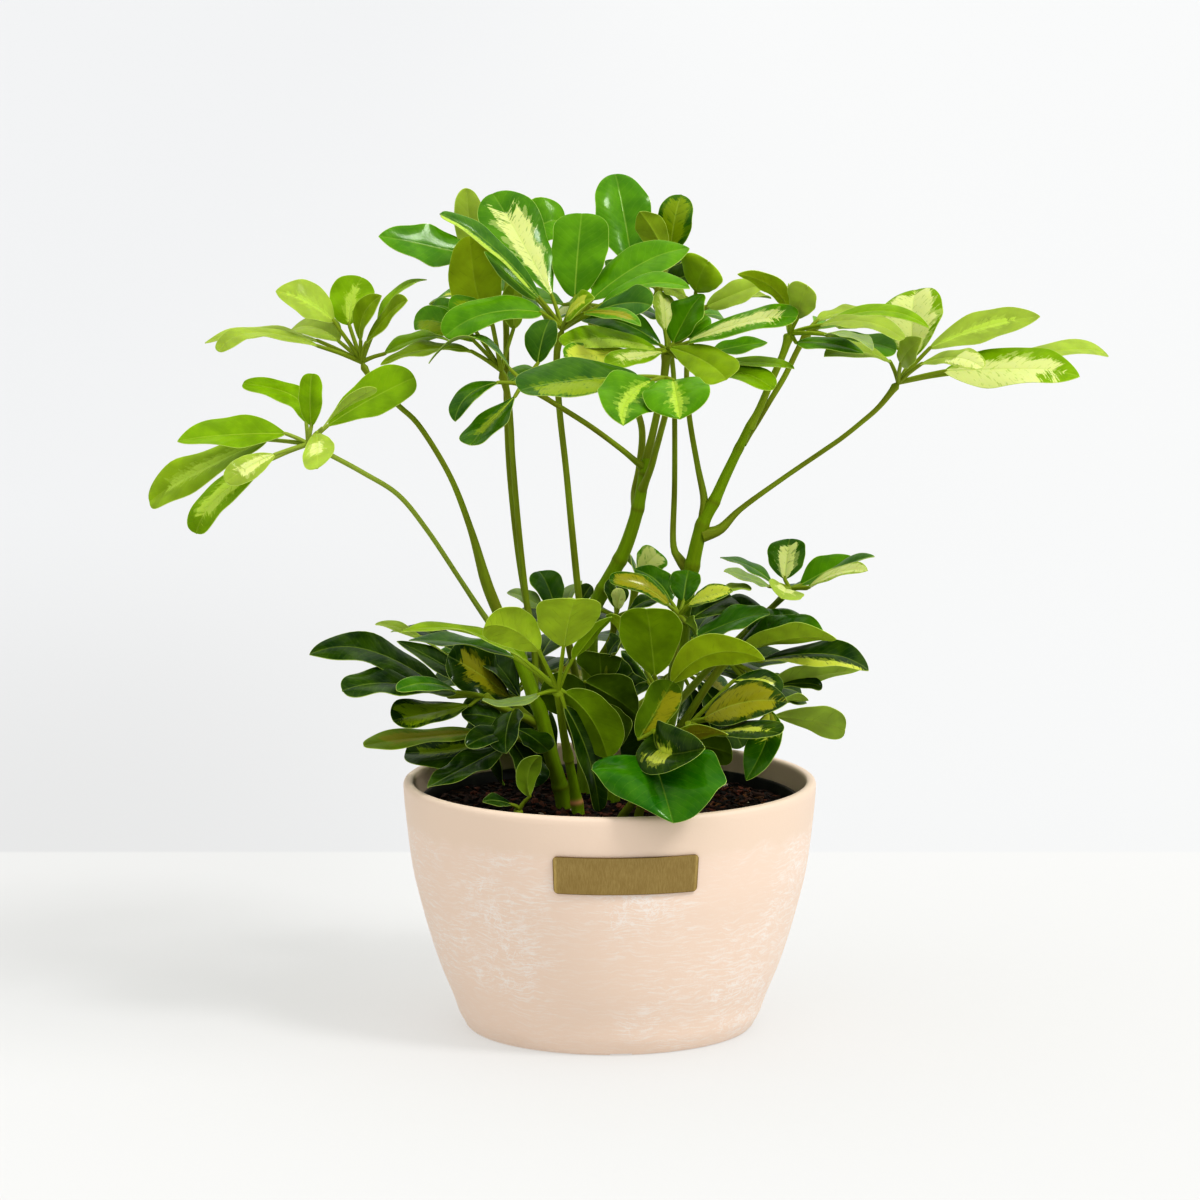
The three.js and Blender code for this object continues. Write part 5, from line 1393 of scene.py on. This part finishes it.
@dataclass(frozen=True)
class LeafSpot:
    """Where a shader is on a leaflet: in shares and in millimetres, and where its side vein starts."""

    p: Painter
    across_share: Value
    along_share: Value
    under: Value
    across: Value
    along: Value
    seed: Value
    vein_start: Value

    @classmethod
    def read(cls, p: Painter, vein_slope: float) -> "LeafSpot":
        """Reads what the leaflet's corners carry."""
        at = p.split(p.attribute("leaf_at", "Vector"))
        across, along, seed = p.split(p.attribute("leaf_place", "Vector"))
        return cls(p, *at, across, along, seed, along - across.size() * vein_slope)

    def even(self, pattern: Pattern) -> Value:
        """A pattern that lies along the midrib."""
        return self.p.squeezed(self.across, self.along, self.seed, pattern)

    def veined(self, pattern: Pattern) -> Value:
        """A pattern that follows the side veins."""
        return self.p.squeezed(self.vein_start, self.across, self.seed, pattern)


@dataclass(frozen=True)
class LeafFinish:
    """Waxy leaf skin: faint veins, variegated patches, a pale midrib and a painted highlight along the thin
    edge.
    """

    name: str
    vein_gap: float = 4.2
    vein_slope: float = 0.85
    vein_shows: Spot = (0.06, 0.0)
    vein_tint: Point = tint(190, 212, 96)
    vein_wobble: Pattern = Pattern(1.0, 3.0, squeeze=(0.16, 0.16))
    rib_shows: Spot = (0.55, 0.15)
    scar_tint: Point = tint(74, 92, 8)
    scars: Pattern = Pattern(1.0, 3.0, squeeze=(0.2, 0.2))
    scars_show: Spot = (0.48, 0.66)
    # The pale thin edge is a painted highlight.
    edge_highlight_tint: Point = tint(202, 218, 128)
    edge_highlight_shows: Spot = (0.30, 0.06)
    cloud: Pattern = Pattern(0.10, 3.0)
    cloud_shows: Spot = (0.25, 0.75)
    cloud_dark: Point = (0.0, 0.02, 0.0)
    cloud_light: Point = (0.45, 0.68, 0.02)
    pores: Pattern = Pattern(1.4, 3.0)
    swell: Pattern = Pattern(squeeze=(0.22, 0.22))
    relief: float = 0.10
    lobes: Pattern = Pattern(squeeze=(0.11, 0.10))
    teeth: Pattern = Pattern(1.0, 4.0, 0.75, squeeze=(0.75, 0.14))
    patch_edge: float = 0.03
    halo: Pattern = Pattern(1.3, 3.0, 0.6, squeeze=(0.28, 0.16))
    halo_shows: Spot = (0.40, 0.62)
    islands: Pattern = Pattern(2.1, 3.0, 0.6, squeeze=(0.42, 0.12))
    islands_show: Spot = (0.60, 0.63)

    def material(self) -> bpy.types.Material:
        """Paints the leaf skin from what each leaflet's corners carry."""
        p = Painter(self.name)
        at = LeafSpot.read(p, self.vein_slope)
        under, gloss = at.under, p.attribute("leaf_tone", "Alpha")
        wobble = (at.even(self.vein_wobble) - 0.5) * 0.8
        wave = ((at.vein_start / self.vein_gap + wobble).math("FRACT") - 0.5).size()
        line = wave.ramp(*self.vein_shows)
        rib = at.across.size().ramp(*self.rib_shows) * (1.0 - at.along_share * 0.7)
        scarred = line * under * at.veined(self.scars).ramp(*self.scars_show)
        colour = p.blend(line * (0.07 - under * 0.04), self._variegated(at), self.vein_tint)
        colour = p.blend(scarred * 0.40, colour, self.scar_tint)
        colour = p.blend(rib * (0.42 - under * 0.14), colour, self.vein_tint)
        # A painted highlight along the thin edge.
        colour = p.blend(self._edge(at) * 0.6, colour, self.edge_highlight_tint)
        pores = at.even(self.pores)
        cushion = wave.ramp(0.0, 0.32) * 0.35 + pores * 0.30 + at.even(self.swell) * 1.6
        return p.finish(
            Base_Color=colour,
            Roughness=0.52 - gloss * 0.30 + pores * 0.12 + under * 0.20,
            Normal=p.bump(cushion - rib * (1.2 - under * 2.6), self.relief),
            Coat_Weight=gloss * (1.0 - under) * 0.34,
            Coat_Roughness=0.12,
            Subsurface_Weight=0.22,
            Subsurface_Radius=(0.7, 1.0, 0.05),
            Subsurface_Scale=0.0009,
            Specular_IOR_Level=0.08,
        )

    def _edge(self, at: LeafSpot) -> Value:
        """Where the painted highlight along the thin edge shows, by the distance from it in millimetres."""
        share = at.across_share.size() + 0.001
        margin = at.across.size() * (1.0 - share) / share
        return margin.ramp(*self.edge_highlight_shows) * at.across_share.size().ramp(0.5, 0.6)

    def _variegated(self, at: LeafSpot) -> Value:
        """Paints the leaflet's own cloudy green, and its patch over it.

        The patch is torn along the veins and has a paler green round it.

        Args:
            at: The place on the leaflet.

        Returns:
            The colour.
        """
        p = at.p
        tone = p.attribute("leaf_tone", "Color")
        dark, light = p.blend(0.22, tone, self.cloud_dark), p.blend(0.10, tone, self.cloud_light)
        green = p.blend(at.even(self.cloud).ramp(*self.cloud_shows), dark, light)
        centre, half, start = p.split(p.attribute("leaf_patch", "Color"))
        end = p.attribute("leaf_patch", "Alpha")
        ragged = (at.veined(self.lobes) - 0.5) * 1.5 + (at.veined(self.teeth) - 0.5) * 1.2
        depth = half - (at.across_share - centre).size() + ragged * (0.20 + half * 0.35)
        entry = (at.along_share - start + ragged * 0.25).ramp(0.0, 0.04)
        inside = entry * (end - at.along_share + ragged * 0.35).ramp(0.0, 0.04)
        cream = p.attribute("leaf_cream", "Color")
        between = p.blend(0.38, green, cream)
        halo = depth + at.veined(self.halo).ramp(*self.halo_shows) * 0.26
        green = p.blend(halo.ramp(0.0, 0.02) * inside, green, between)
        cream = p.blend(at.veined(self.islands).ramp(*self.islands_show) * 0.75, cream, between)
        return p.blend(depth.ramp(0.0, self.patch_edge) * inside, green, cream)


@dataclass(frozen=True)
class StemFinish:
    """Green young bark with brown tints, fine lengthwise lines, node rings and leaf scars."""

    brown_tint: Point = tint(104, 88, 20)
    scar_tint: Point = tint(206, 158, 110)
    speck_tint: Point = tint(160, 162, 84)
    specks_show: Spot = (0.15, 0.09)
    speck_scale: float = 0.8
    line_tint: Point = (0.02, 0.05, 0.0)
    lines: Pattern = Pattern(1.0, 3.0, squeeze=(1.8, 0.05))
    lines_show: Spot = (0.3, 0.7)
    browning: Pattern = Pattern(1.0, 3.0, squeeze=(0.25, 0.045))
    browning_shows: Spot = (0.38, 0.68)
    relief: float = 0.10

    def material(self) -> bpy.types.Material:
        """Paints the bark from what the stem's corners carry."""
        p = Painter("green_bark")
        around, along, seed = p.split(p.attribute("stem_place", "Vector"))
        ring, scar, _ = p.split(p.attribute("stem_mark", "Vector"))
        tone, brown = p.attribute("stem_tone", "Color"), p.attribute("stem_tone", "Alpha")
        lines = p.squeezed(around, along, seed, self.lines)
        browned = p.squeezed(around, along, seed, self.browning).ramp(*self.browning_shows) * brown
        sockets = {"Vector": p.join(around, along * 0.5, seed), "Scale": self.speck_scale}
        specks = Value(p, p.node("TexVoronoi", None, sockets).outputs["Distance"]).ramp(*self.specks_show)
        colour = p.blend(lines.ramp(*self.lines_show) * 0.35, tone, p.blend(0.4, tone, self.line_tint))
        colour = p.blend(browned, colour, self.brown_tint)
        colour = p.blend(specks * 0.22, colour, self.speck_tint)
        colour = p.blend(ring * 0.45, colour, self.brown_tint)
        return p.finish(
            Base_Color=p.blend(scar, colour, self.scar_tint),
            Roughness=0.42 + lines * 0.16,
            Normal=p.bump(lines * 0.7 + specks * 0.5, self.relief),
            Subsurface_Weight=0.10,
            Subsurface_Radius=(0.8, 1.0, 0.1),
            Subsurface_Scale=0.0008,
            Specular_IOR_Level=0.18,
        )


def leaf_blank(columns: int, rows: int) -> Shell:
    """Models the slab that leaflets are bent from.

    Args:
        columns: Faces across it.
        rows: Faces along it.

    Returns:
        The slab, x -1..1 across, y 0..1 along and z the side.
    """
    bpy.ops.object.select_all(action="DESELECT")
    bpy.ops.mesh.primitive_grid_add(x_subdivisions=columns, y_subdivisions=rows, size=2.0)
    slab = bpy.context.object
    apply(slab, "SOLIDIFY", thickness=1.0, offset=0.0)
    leaf = Shell.from_object(slab)
    leaf.places[:, 1] = (leaf.places[:, 1] + 1) / 2
    return leaf


def tube_blank(rings: int, sides: int) -> Shell:
    """Models the tube that stalks and canes are bent from.

    Args:
        rings: Faces along it.
        sides: Faces round it.

    Returns:
        The tube, closed at both ends, of radius 1 along z 0..1.
    """
    bpy.ops.object.select_all(action="DESELECT")
    bpy.ops.mesh.primitive_circle_add(vertices=sides, radius=1.0, fill_type="TRIFAN")
    tube = bpy.context.object
    start_edit(tube)
    for _ in range(rings):
        bpy.ops.mesh.extrude_region_move(TRANSFORM_OT_translate={"value": (0.0, 0.0, 1.0 / rings)})
    end_edit()
    return Shell.from_object(tube)


def unit(v: np.ndarray) -> np.ndarray:
    """A vector, or each row of vectors, at length 1."""
    return v / np.linalg.norm(v, axis=-1, keepdims=True)


@dataclass(frozen=True)
class Run:
    """A smooth line through points with a radius at each, for stalks and canes."""

    points: np.ndarray
    radii: np.ndarray
    fineness: int = 24
    look: float = 0.01
    first_side: Point = (1.0, 0.3, 0.1)

    def sample(self, shares: np.ndarray) -> tuple[np.ndarray, np.ndarray, np.ndarray]:
        """Finds the line at shares of its length.

        Args:
            shares: From 0 at the first point to 1 at the last.

        Returns:
            The places, the directions and the radii there.
        """
        before, after = 2 * self.points[0] - self.points[1], 2 * self.points[-1] - self.points[-2]
        p = np.vstack([before, self.points, after])
        shares_between = np.linspace(0, 1, self.fineness, endpoint=False)
        fine = [spline(*p[k:k + 4], t) for k in range(len(p) - 3) for t in shares_between]
        fine = np.vstack([fine, self.points[-1]])
        knots = np.interp(np.arange(len(fine)), np.arange(len(self.radii)) * self.fineness, self.radii)
        lengths = np.concatenate([[0], np.cumsum(np.linalg.norm(np.diff(fine, axis=0), axis=1))])
        where = shares * lengths[-1]
        places = np.column_stack([np.interp(where, lengths, fine[:, k]) for k in range(3)])
        step = lengths[-1] * self.look
        ahead = np.column_stack([np.interp(where + step, lengths, fine[:, k]) for k in range(3)])
        behind = np.column_stack([np.interp(where - step, lengths, fine[:, k]) for k in range(3)])
        return places, unit(ahead - behind), np.interp(where, lengths, knots)

    def length(self) -> float:
        """The length along the points."""
        return float(np.sum(np.linalg.norm(np.diff(self.points, axis=0), axis=1)))

    def bend(self, tube: Shell, swell: Callable[[np.ndarray], np.ndarray]) -> tuple[np.ndarray, np.ndarray]:
        """Bends the tube blank along the line.

        Args:
            tube: The blank.
            swell: Gives the factor on the radius at shares of the length.

        Returns:
            The corners in millimetres, and for each the distances round and along it.
        """
        levels, level_of = np.unique(np.round(tube.places[:, 2], 5), return_inverse=True)
        centres, ways, radii = self.sample(levels)
        radii = radii * swell(levels)
        side = np.empty_like(ways)
        lean = np.array(self.first_side)
        for k, way in enumerate(ways):
            lean = unit(lean - way * float(lean @ way))
            side[k] = lean
        other = np.cross(ways, side)
        x, y = tube.places[:, :1], tube.places[:, 1:2]
        corners = centres[level_of] + radii[level_of, None] * (x * side[level_of] + y * other[level_of])
        angle = np.arctan2(tube.places[:, 1], tube.places[:, 0])
        return corners, np.column_stack([angle * radii.mean(), levels[level_of] * self.length()])


@dataclass(frozen=True)
class Habit:
    """How one leaflet grew: its own fold, rolled margins, waves, twist and uneven outline.

    t is the share across it, from -1 to 1, and s the share along it, from 0 to 1.
    """

    fold: float
    roll: float
    twist: float
    droop: float
    notch: float
    uneven: float
    waves: float
    wave_height: float
    phases: Spot
    cuts: Spot

    @classmethod
    def draw(cls, blade: Blade, rng: np.random.Generator) -> "Habit":
        """Draws a leaflet's habit.

        Args:
            blade: The leaflet; its fold and outline set the middle of the range.
            rng: The compound leaf's own source of chance.

        Returns:
            The habit.
        """
        blunt = blade.outline in ("round", "obovate", "blunt", "strap")
        return cls(
            fold=math.tan(math.radians(blade.fold + rng.uniform(-4, 7))),
            roll=rng.uniform(0.35, 0.95),
            twist=math.radians(rng.uniform(-16, 16)),
            droop=rng.uniform(-0.01, 0.07),
            notch=0.085 if blade.outline == "notched" else rng.uniform(-0.01, 0.028) * blunt,
            uneven=rng.uniform(-0.09, 0.09),
            waves=rng.uniform(1.1, 2.3),
            wave_height=rng.uniform(0.04, 0.13),
            phases=tuple(rng.uniform(0, 2 * math.pi, 2)),
            cuts=tuple(rng.uniform(0, 2 * math.pi, 2)),
        )

    def breadth(self, t: np.ndarray, s: np.ndarray) -> np.ndarray:
        """The factor on the width: one side a little broader, and both a little wavy."""
        cut = np.where(t < 0, *self.cuts)
        swing = np.sin(2 * math.pi * 1.6 * s + cut) * 0.035 + np.sin(2 * math.pi * 3.7 * s - cut) * 0.015
        return 1 + (self.uneven * np.sign(t) * np.sin(math.pi * s) + swing) * np.abs(t)

    def lift(self, t: np.ndarray, s: np.ndarray, half: np.ndarray, length: float) -> np.ndarray:
        """Finds how far the leaflet's middle layer stands off its plane.

        Args:
            t: Shares across.
            s: Shares along.
            half: Its half widths there, in millimetres.
            length: Its length, in millimetres.

        Returns:
            The distances in millimetres.
        """
        out = np.abs(t)
        bowl = half * self.fold * ((1 + 0.45 * self.roll) * out - self.roll * out**3)
        phase = np.where(t < 0, *self.phases)
        ripple = np.sin(2 * math.pi * self.waves * s + phase) * out**2 * half * self.wave_height
        tip = -self.droop * length * np.clip((s - 0.6) / 0.4, 0, 1) ** 2
        return bowl + ripple + tip

    def notched(self, t: np.ndarray, s: np.ndarray) -> np.ndarray:
        """How far the tip is drawn in at its middle, as a share of the length."""
        return self.notch * np.exp(-((t / 0.42) ** 2)) * np.clip((s - 0.72) / 0.28, 0, 1) ** 2


@dataclass(frozen=True)
class Spine:
    """The curve that a leaflet grows along, and the way that its upper face looks."""

    start: np.ndarray
    control: np.ndarray
    end: np.ndarray
    face: np.ndarray

    @classmethod
    def find(cls, hub_row: Point, blade: Blade, arch: float) -> "Spine":
        """Finds a leaflet's spine from the front view.

        Args:
            hub_row: The hub, as u, v and y.
            blade: The leaflet.
            arch: How far it arches where it has no via point, as a share of its length.

        Returns:
            The spine.
        """
        hub, base, tip = np.array(hub_row[:2]), np.array(blade.base), np.array(blade.tip[:2])
        reach, rest = np.linalg.norm(base - hub), np.linalg.norm(tip - base)
        depth = hub_row[2] + (blade.tip[2] - hub_row[2]) * reach / (reach + rest)
        start, end = VIEW.at(*blade.base, depth), VIEW.at(*blade.tip)
        chord = unit(end - start)
        middle = (start + end) / 2
        sight = unit(middle - np.array(VIEW.eye))
        across = unit(np.cross(chord, sight)) * (-1 if chord[0] < 0 else 1)
        to_viewer = -unit(sight - chord * float(sight @ chord))
        angle = math.radians(blade.turn)
        face = to_viewer * math.cos(angle) + across * math.sin(angle)
        if blade.via:
            middle = VIEW.at(*blade.via, (depth + blade.tip[2]) / 2)
        else:
            middle = middle + face * arch * float(np.linalg.norm(end - start))
        return cls(start, middle * 2 - (start + end) / 2, end, face)

    def length(self) -> float:
        """The length of the two lines to its control point."""
        return float(np.linalg.norm(self.control - self.start) + np.linalg.norm(self.end - self.control))

    def at(self, share: np.ndarray) -> tuple[np.ndarray, np.ndarray]:
        """The places and the directions at a column of shares."""
        rest = 1 - share
        places = rest**2 * self.start + 2 * share * rest * self.control + share**2 * self.end
        return places, unit(rest * (self.control - self.start) + share * (self.end - self.control) + 1e-9)


@dataclass
class LeafMaker:
    """Bends a leaf slab and a tube into one compound leaf."""

    NO_STEM: ClassVar[dict] = {"stem_place": [0.0] * 3, "stem_tone": [0.0] * 4, "stem_mark": [0.0] * 3}
    NO_LEAF: ClassVar[dict] = {
        "leaf_at": [0.0] * 3, "leaf_place": [0.0] * 3, "leaf_tone": [0.0] * 4, "leaf_patch": [0.0] * 4,
        "leaf_cream": [0.0] * 4,
    }

    frond: Frond
    slab: Shell
    tube: Shell
    thick: float = 0.62
    rim_share: float = 0.55
    tip_thinning: float = 0.3
    least_half: float = 0.12
    rib: float = 0.55
    rib_above: float = 0.18
    rib_width: float = 0.7
    arch: float = 0.06
    stalklet: tuple[float, ...] = (1.1875, 0.9975, 0.9025, 0.57)
    stalklet_browning: float = 0.3
    knob: Spot = (0.45, 3.2)
    flare: Spot = (0.25, 5.0)
    crease: float = 50.0

    def __post_init__(self) -> None:
        """Starts the piece and the leaf's own source of chance."""
        name = self.frond.name
        self.stack = Stack(name.replace("leaf_", "frond_"))
        self.rng = np.random.default_rng(sum(ord(letter) * (k + 7) for k, letter in enumerate(name)))

    def build(self, materials: Sequence[bpy.types.Material]) -> None:
        """Makes the compound leaf as one piece.

        Args:
            materials: Its skin and its bark.
        """
        self._stalk()
        for blade in self.frond.blades:
            spine = Spine.find(self.frond.hub, blade, self.arch)
            self._stalklet(spine)
            self._leaflet(blade, spine)
        hand_over(self.stack.build(materials, self.crease), self.frond.slot, self.frond.name)

    def _stalk(self) -> None:
        """Adds the long stalk, thick at its foot and swollen at the hub."""
        frond = self.frond
        points = np.array([VIEW.at(*frond.hub), *(VIEW.at(*row[:3]) for row in frond.stalk)])
        radii = np.array([frond.stalk[0][3] + 0.5, *(row[3] for row in frond.stalk)])
        run = Run(points, radii)
        reach = run.length()

        def swell(shares: np.ndarray) -> np.ndarray:
            """A knob under the leaflets and a flare at the foot."""
            hub = self.knob[0] * np.exp(-((shares * reach / self.knob[1]) ** 2))
            foot = self.flare[0] * np.exp(-(((1 - shares) * reach / self.flare[1]) ** 2))
            cap = np.sqrt(np.clip(shares * reach / 1.6, 0.05, 1))
            return (1 + hub + foot) * cap

        self._add_stem(frond.brown, *run.bend(self.tube, swell))

    def _stalklet(self, spine: Spine) -> None:
        """Adds the short stalk from the hub into a leaflet.

        Args:
            spine: The leaflet's spine.
        """
        hub = VIEW.at(*self.frond.hub)
        mouth = spine.start + unit(spine.control - spine.start) * 1.5
        middle = (hub + spine.start) / 2 + spine.face * 0.4
        run = Run(np.array([hub, middle, spine.start, mouth]), np.array(self.stalklet))
        brown = self.frond.brown * self.stalklet_browning
        self._add_stem(brown, *run.bend(self.tube, np.ones_like))

    def _add_stem(self, brown: float, corners: np.ndarray, spread: np.ndarray) -> None:
        """Adds a bent tube.

        Args:
            brown: Its share of brown.
            corners: Its corners, in millimetres.
            spread: For each of them the distances round and along it.
        """
        self.stack.add(
            VIEW.to_object(corners), self.tube.faces, 1,
            stem_place=np.column_stack([spread, np.full(len(spread), self.rng.uniform(0, 50))]),
            stem_tone=[*tint(*self.frond.stem), brown], stem_mark=[0.0] * 3, **self.NO_LEAF,
        )

    def _leaflet(self, blade: Blade, spine: Spine) -> None:
        """Adds a leaflet: the leaf blank bent along its spine.

        Args:
            blade: The leaflet.
            spine: Its spine.
        """
        x, y, z = self.slab.places.T
        t = np.sign(x) * np.abs(x) ** 1.4
        s = (1 - np.cos(np.pi * y)) / 2
        habit = Habit.draw(blade, self.rng)
        centre, way = spine.at(s[:, None])
        normal = unit(spine.face - way * (way @ spine.face)[:, None])
        side = np.cross(way, normal)
        lean = (habit.twist * (s - 0.45))[:, None]
        c, d = np.cos(lean), np.sin(lean)
        side, normal = side * c + normal * d, normal * c - side * d
        half = self._half(blade, s) * habit.breadth(t, s)
        length = spine.length()
        under = z < 0
        lift = habit.lift(t, s, half, length) + self._rise(t, s, half, under)
        slide = half * t * blade.shear - habit.notched(t, s) * length
        corners = centre + side * (half * t)[:, None] + normal * lift[:, None] + way * slide[:, None]
        upper, lower, gloss = blade.green.value
        tone = np.where(under[:, None], tint(*lower), tint(*upper)) * self.rng.uniform(0.9, 1.1)
        number = np.full(len(t), self.rng.uniform(0, 90))
        self.stack.add(
            VIEW.to_object(corners), self.slab.faces, 0,
            leaf_at=np.column_stack([t, s, under]),
            leaf_place=np.column_stack([t * half, s * length, number]),
            leaf_tone=np.column_stack([tone, np.full(len(t), gloss)]),
            leaf_patch=blade.patch.value, leaf_cream=[*tint(*blade.cream.value), 1.0], **self.NO_STEM,
        )

    def _half(self, blade: Blade, s: np.ndarray) -> np.ndarray:
        """The leaflet's half width in millimetres at shares along it."""
        shape = OUTLINES[blade.outline]
        peak = float(np.max(shape(np.linspace(0.01, 0.99, 99))))
        return np.maximum(shape(np.clip(s, 1e-6, 1 - 1e-6)) / peak * blade.width / 2, self.least_half)

    def _rise(self, t: np.ndarray, s: np.ndarray, half: np.ndarray, under: np.ndarray) -> np.ndarray:
        """How far either side stands off the leaflet's middle, in millimetres, with the midrib."""
        rib = np.exp(-((t * half / self.rib_width) ** 2)) * (1 - 0.75 * s)
        thick = self.thick * (1 - (1 - self.rim_share) * np.abs(t) ** 2) * (1 - self.tip_thinning * s)
        return np.where(under, -thick / 2 - rib * self.rib, thick / 2 - rib * self.rib_above)


@dataclass(frozen=True)
class CaneMaker:
    """Bends a tube blank into the woody stems."""

    tube: Shell
    node_swell: float = 0.13
    node_reach: float = 2.2
    ring_reach: float = 0.9
    scar_reach: float = 1.4
    crease: float = 60.0

    def build(self, cane: Cane, material: bpy.types.Material) -> None:
        """Makes one cane with its node rings.

        Args:
            cane: The cane.
            material: Its bark.
        """
        points = np.array([VIEW.at(*row) for row in cane.path])
        run = Run(points, np.linspace(*cane.radii, len(points)))
        reach = run.length()

        def swell(shares: np.ndarray) -> np.ndarray:
            """Thicker at each node, and drawn in at the very top."""
            bumps = sum(np.exp(-(((shares - node) * reach / self.node_reach) ** 2)) for node in cane.nodes)
            top = np.sqrt(np.clip((1 - shares) * reach / 2.0, 0.08, 1))
            return (1 + self.node_swell * bumps) * top

        corners, spread = run.bend(self.tube, swell)
        shares = self.tube.places[:, 2]
        ring = sum(np.exp(-(((shares - node) * reach / self.ring_reach) ** 2)) for node in cane.nodes)
        scar = np.zeros_like(shares)
        if cane.scar is not None:
            scar = np.exp(-(((shares - cane.scar) * reach / self.scar_reach) ** 2))
        stack = Stack(cane.name.replace("cane_", "woody_cane_"))
        stack.add(
            VIEW.to_object(corners), self.tube.faces, 0,
            stem_place=np.column_stack([spread, np.full(len(spread), cane.radii[0] * 7 + reach)]),
            stem_tone=[*tint(*cane.stem), cane.brown],
            stem_mark=np.column_stack([ring, scar, scar]),
        )
        hand_over(stack.build([material], self.crease), "stem", cane.name)


@dataclass(frozen=True)
class Plant:
    """The canes and all the compound leaves.

    cane and stalk count the faces along and round their tubes, and leaf those across and along its slab.
    """

    cane: tuple[int, int] = (120, 20)
    stalk: tuple[int, int] = (48, 14)
    leaf: tuple[int, int] = (16, 30)
    slots: tuple[str, ...] = ("leaf_bright", "leaf_dark")

    def build(self) -> None:
        """Makes every cane and leaf."""
        bark = StemFinish().material()
        maker = CaneMaker(tube_blank(*self.cane))
        for cane in CANES:
            maker.build(cane, bark)
        skins = {slot: LeafFinish(slot + "_skin").material() for slot in self.slots}
        slab, tube = leaf_blank(*self.leaf), tube_blank(*self.stalk)
        for frond in FRONDS:
            LeafMaker(frond, slab, tube).build([skins[frond.slot], bark])


# ---- studio


@dataclass(frozen=True)
class Studio:
    """A pale glowing floor and backdrop, a soft sky, a key light and the photograph's camera.

    Each pair is in metres, to the right or back, from where a tone starts to where it is full.
    """

    floor_tint: Point = (0.30, 0.30, 0.30)
    floor_glow: Point = (0.360, 0.358, 0.349)
    # Painted shadow: the floor glows dimmer at the left and back.
    floor_glow_painted_shadow: Point = (0.316, 0.315, 0.307)
    # Painted shade on the backdrop: dimmer at its left, and dimmest low down at its left.
    wall_glow_painted_shadow_low: Point = (0.266, 0.266, 0.266)
    wall_glow_painted_shade_left: Point = (0.308, 0.311, 0.316)
    wall_glow_right: Point = (0.343, 0.345, 0.345)
    wall_starts: Spot = (0.409, 0.417)
    painted_wall_shade_fades_right: Spot = (-0.7, 0.5)
    painted_wall_shadow_near: Spot = (1.9, 0.4)
    painted_wall_shadow_left: Spot = (0.1, -0.35)
    painted_floor_shadow_left: Spot = (-0.02, -0.22)
    painted_floor_shadow_back: Spot = (-0.14, 0.06)
    floor_half: float = 30.0
    sky_low: Point = (0.360, 0.365, 0.365)
    sky_high: Point = (0.960, 0.965, 0.965)
    sky_rises: Spot = (-0.05, 0.95)
    sun: float = 0.98
    sun_spread: float = math.radians(14.0)
    sun_from: Point = (0.75, -0.62, 1.1)

    def build(self) -> None:
        """Makes the camera, the floor and the lights."""
        self._camera()
        self._floor()
        self._lights()

    def _camera(self) -> None:
        """Stands the camera where the viewer is."""
        data = bpy.data.cameras.new("front_camera")
        data.lens, data.sensor_width = VIEW.lens, VIEW.sensor
        data.clip_start, data.clip_end = 0.1, 200.0
        camera = bpy.data.objects.new("front_camera", data)
        camera.location = VIEW.to_object(np.array(VIEW.eye))
        camera.rotation_euler = (math.pi / 2 - VIEW.pitch, 0.0, VIEW.turn)
        bpy.context.scene.collection.objects.link(camera)
        bpy.context.scene.camera = camera

    def _floor(self) -> None:
        """Lays the floor, a little greyer behind the backdrop's line, with painted shadow and shade at the
        left.
        """
        bpy.ops.object.select_all(action="DESELECT")
        bpy.ops.mesh.primitive_plane_add(size=2 * self.floor_half)
        floor = bpy.context.object
        floor.name = "studio_floor"
        p = Painter("pale_floor")
        turned = p.node("Mapping", None, {"Vector": p.place(), "Rotation": (0.0, 0.0, -VIEW.turn)})
        width, depth, _ = p.split(Value(p, turned.outputs[0]))
        # Painted shade on the backdrop: dimmer to the left, and dimmest low down at the left.
        wall = p.blend(width.ramp(*self.painted_wall_shade_fades_right), self.wall_glow_painted_shade_left, self.wall_glow_right)
        low = depth.ramp(*self.painted_wall_shadow_near) * width.ramp(*self.painted_wall_shadow_left)
        wall = p.blend(low, wall, self.wall_glow_painted_shadow_low)
        # Painted shadow on the floor: dimmer to the left and back.
        painted_floor_shadow_mask = width.ramp(*self.painted_floor_shadow_left) * depth.ramp(*self.painted_floor_shadow_back)
        ground = p.blend(painted_floor_shadow_mask, self.floor_glow, self.floor_glow_painted_shadow)
        glow = p.blend(depth.ramp(*self.wall_starts), ground, wall)
        material = p.finish(
            Base_Color=(*self.floor_tint, 1.0), Roughness=0.8, Specular_IOR_Level=0.1,
            Emission_Color=glow, Emission_Strength=1.0,
        )
        floor.data.materials.append(material)

    def _lights(self) -> None:
        """Hangs a key light at the upper right and a sky that is brightest overhead."""
        world = bpy.data.worlds.new("pale_room")
        world.use_nodes = True
        graph = Graph(world.node_tree)
        _, _, height = graph.split(Value(graph, graph.node("TexCoord").outputs["Generated"]))
        sky = graph.blend(height.ramp(*self.sky_rises), self.sky_low, self.sky_high)
        back = world.node_tree.nodes["Background"]
        world.node_tree.links.new(sky.socket, back.inputs["Color"])
        bpy.context.scene.world = world
        data = bpy.data.lights.new("key_light", "SUN")
        data.energy, data.angle = self.sun, self.sun_spread
        key = bpy.data.objects.new("key_light", data)
        key.rotation_euler = Vector(self.sun_from).to_track_quat("Z", "Y").to_euler()
        bpy.context.scene.collection.objects.link(key)
        settings = bpy.context.scene.view_settings
        settings.view_transform, settings.look = "Standard", "High Contrast"


def main() -> None:
    """Builds the plant, its planter and the studio, in order."""
    logging.basicConfig(level=logging.INFO, format="%(message)s")
    bpy.ops.object.select_all(action="DESELECT")
    Studio().build()
    planter = Planter()
    planter.build()
    Plaque(planter).build()
    Liner().build()
    Soil().build()
    Plant().build()


if __name__ == "__main__":
    main()
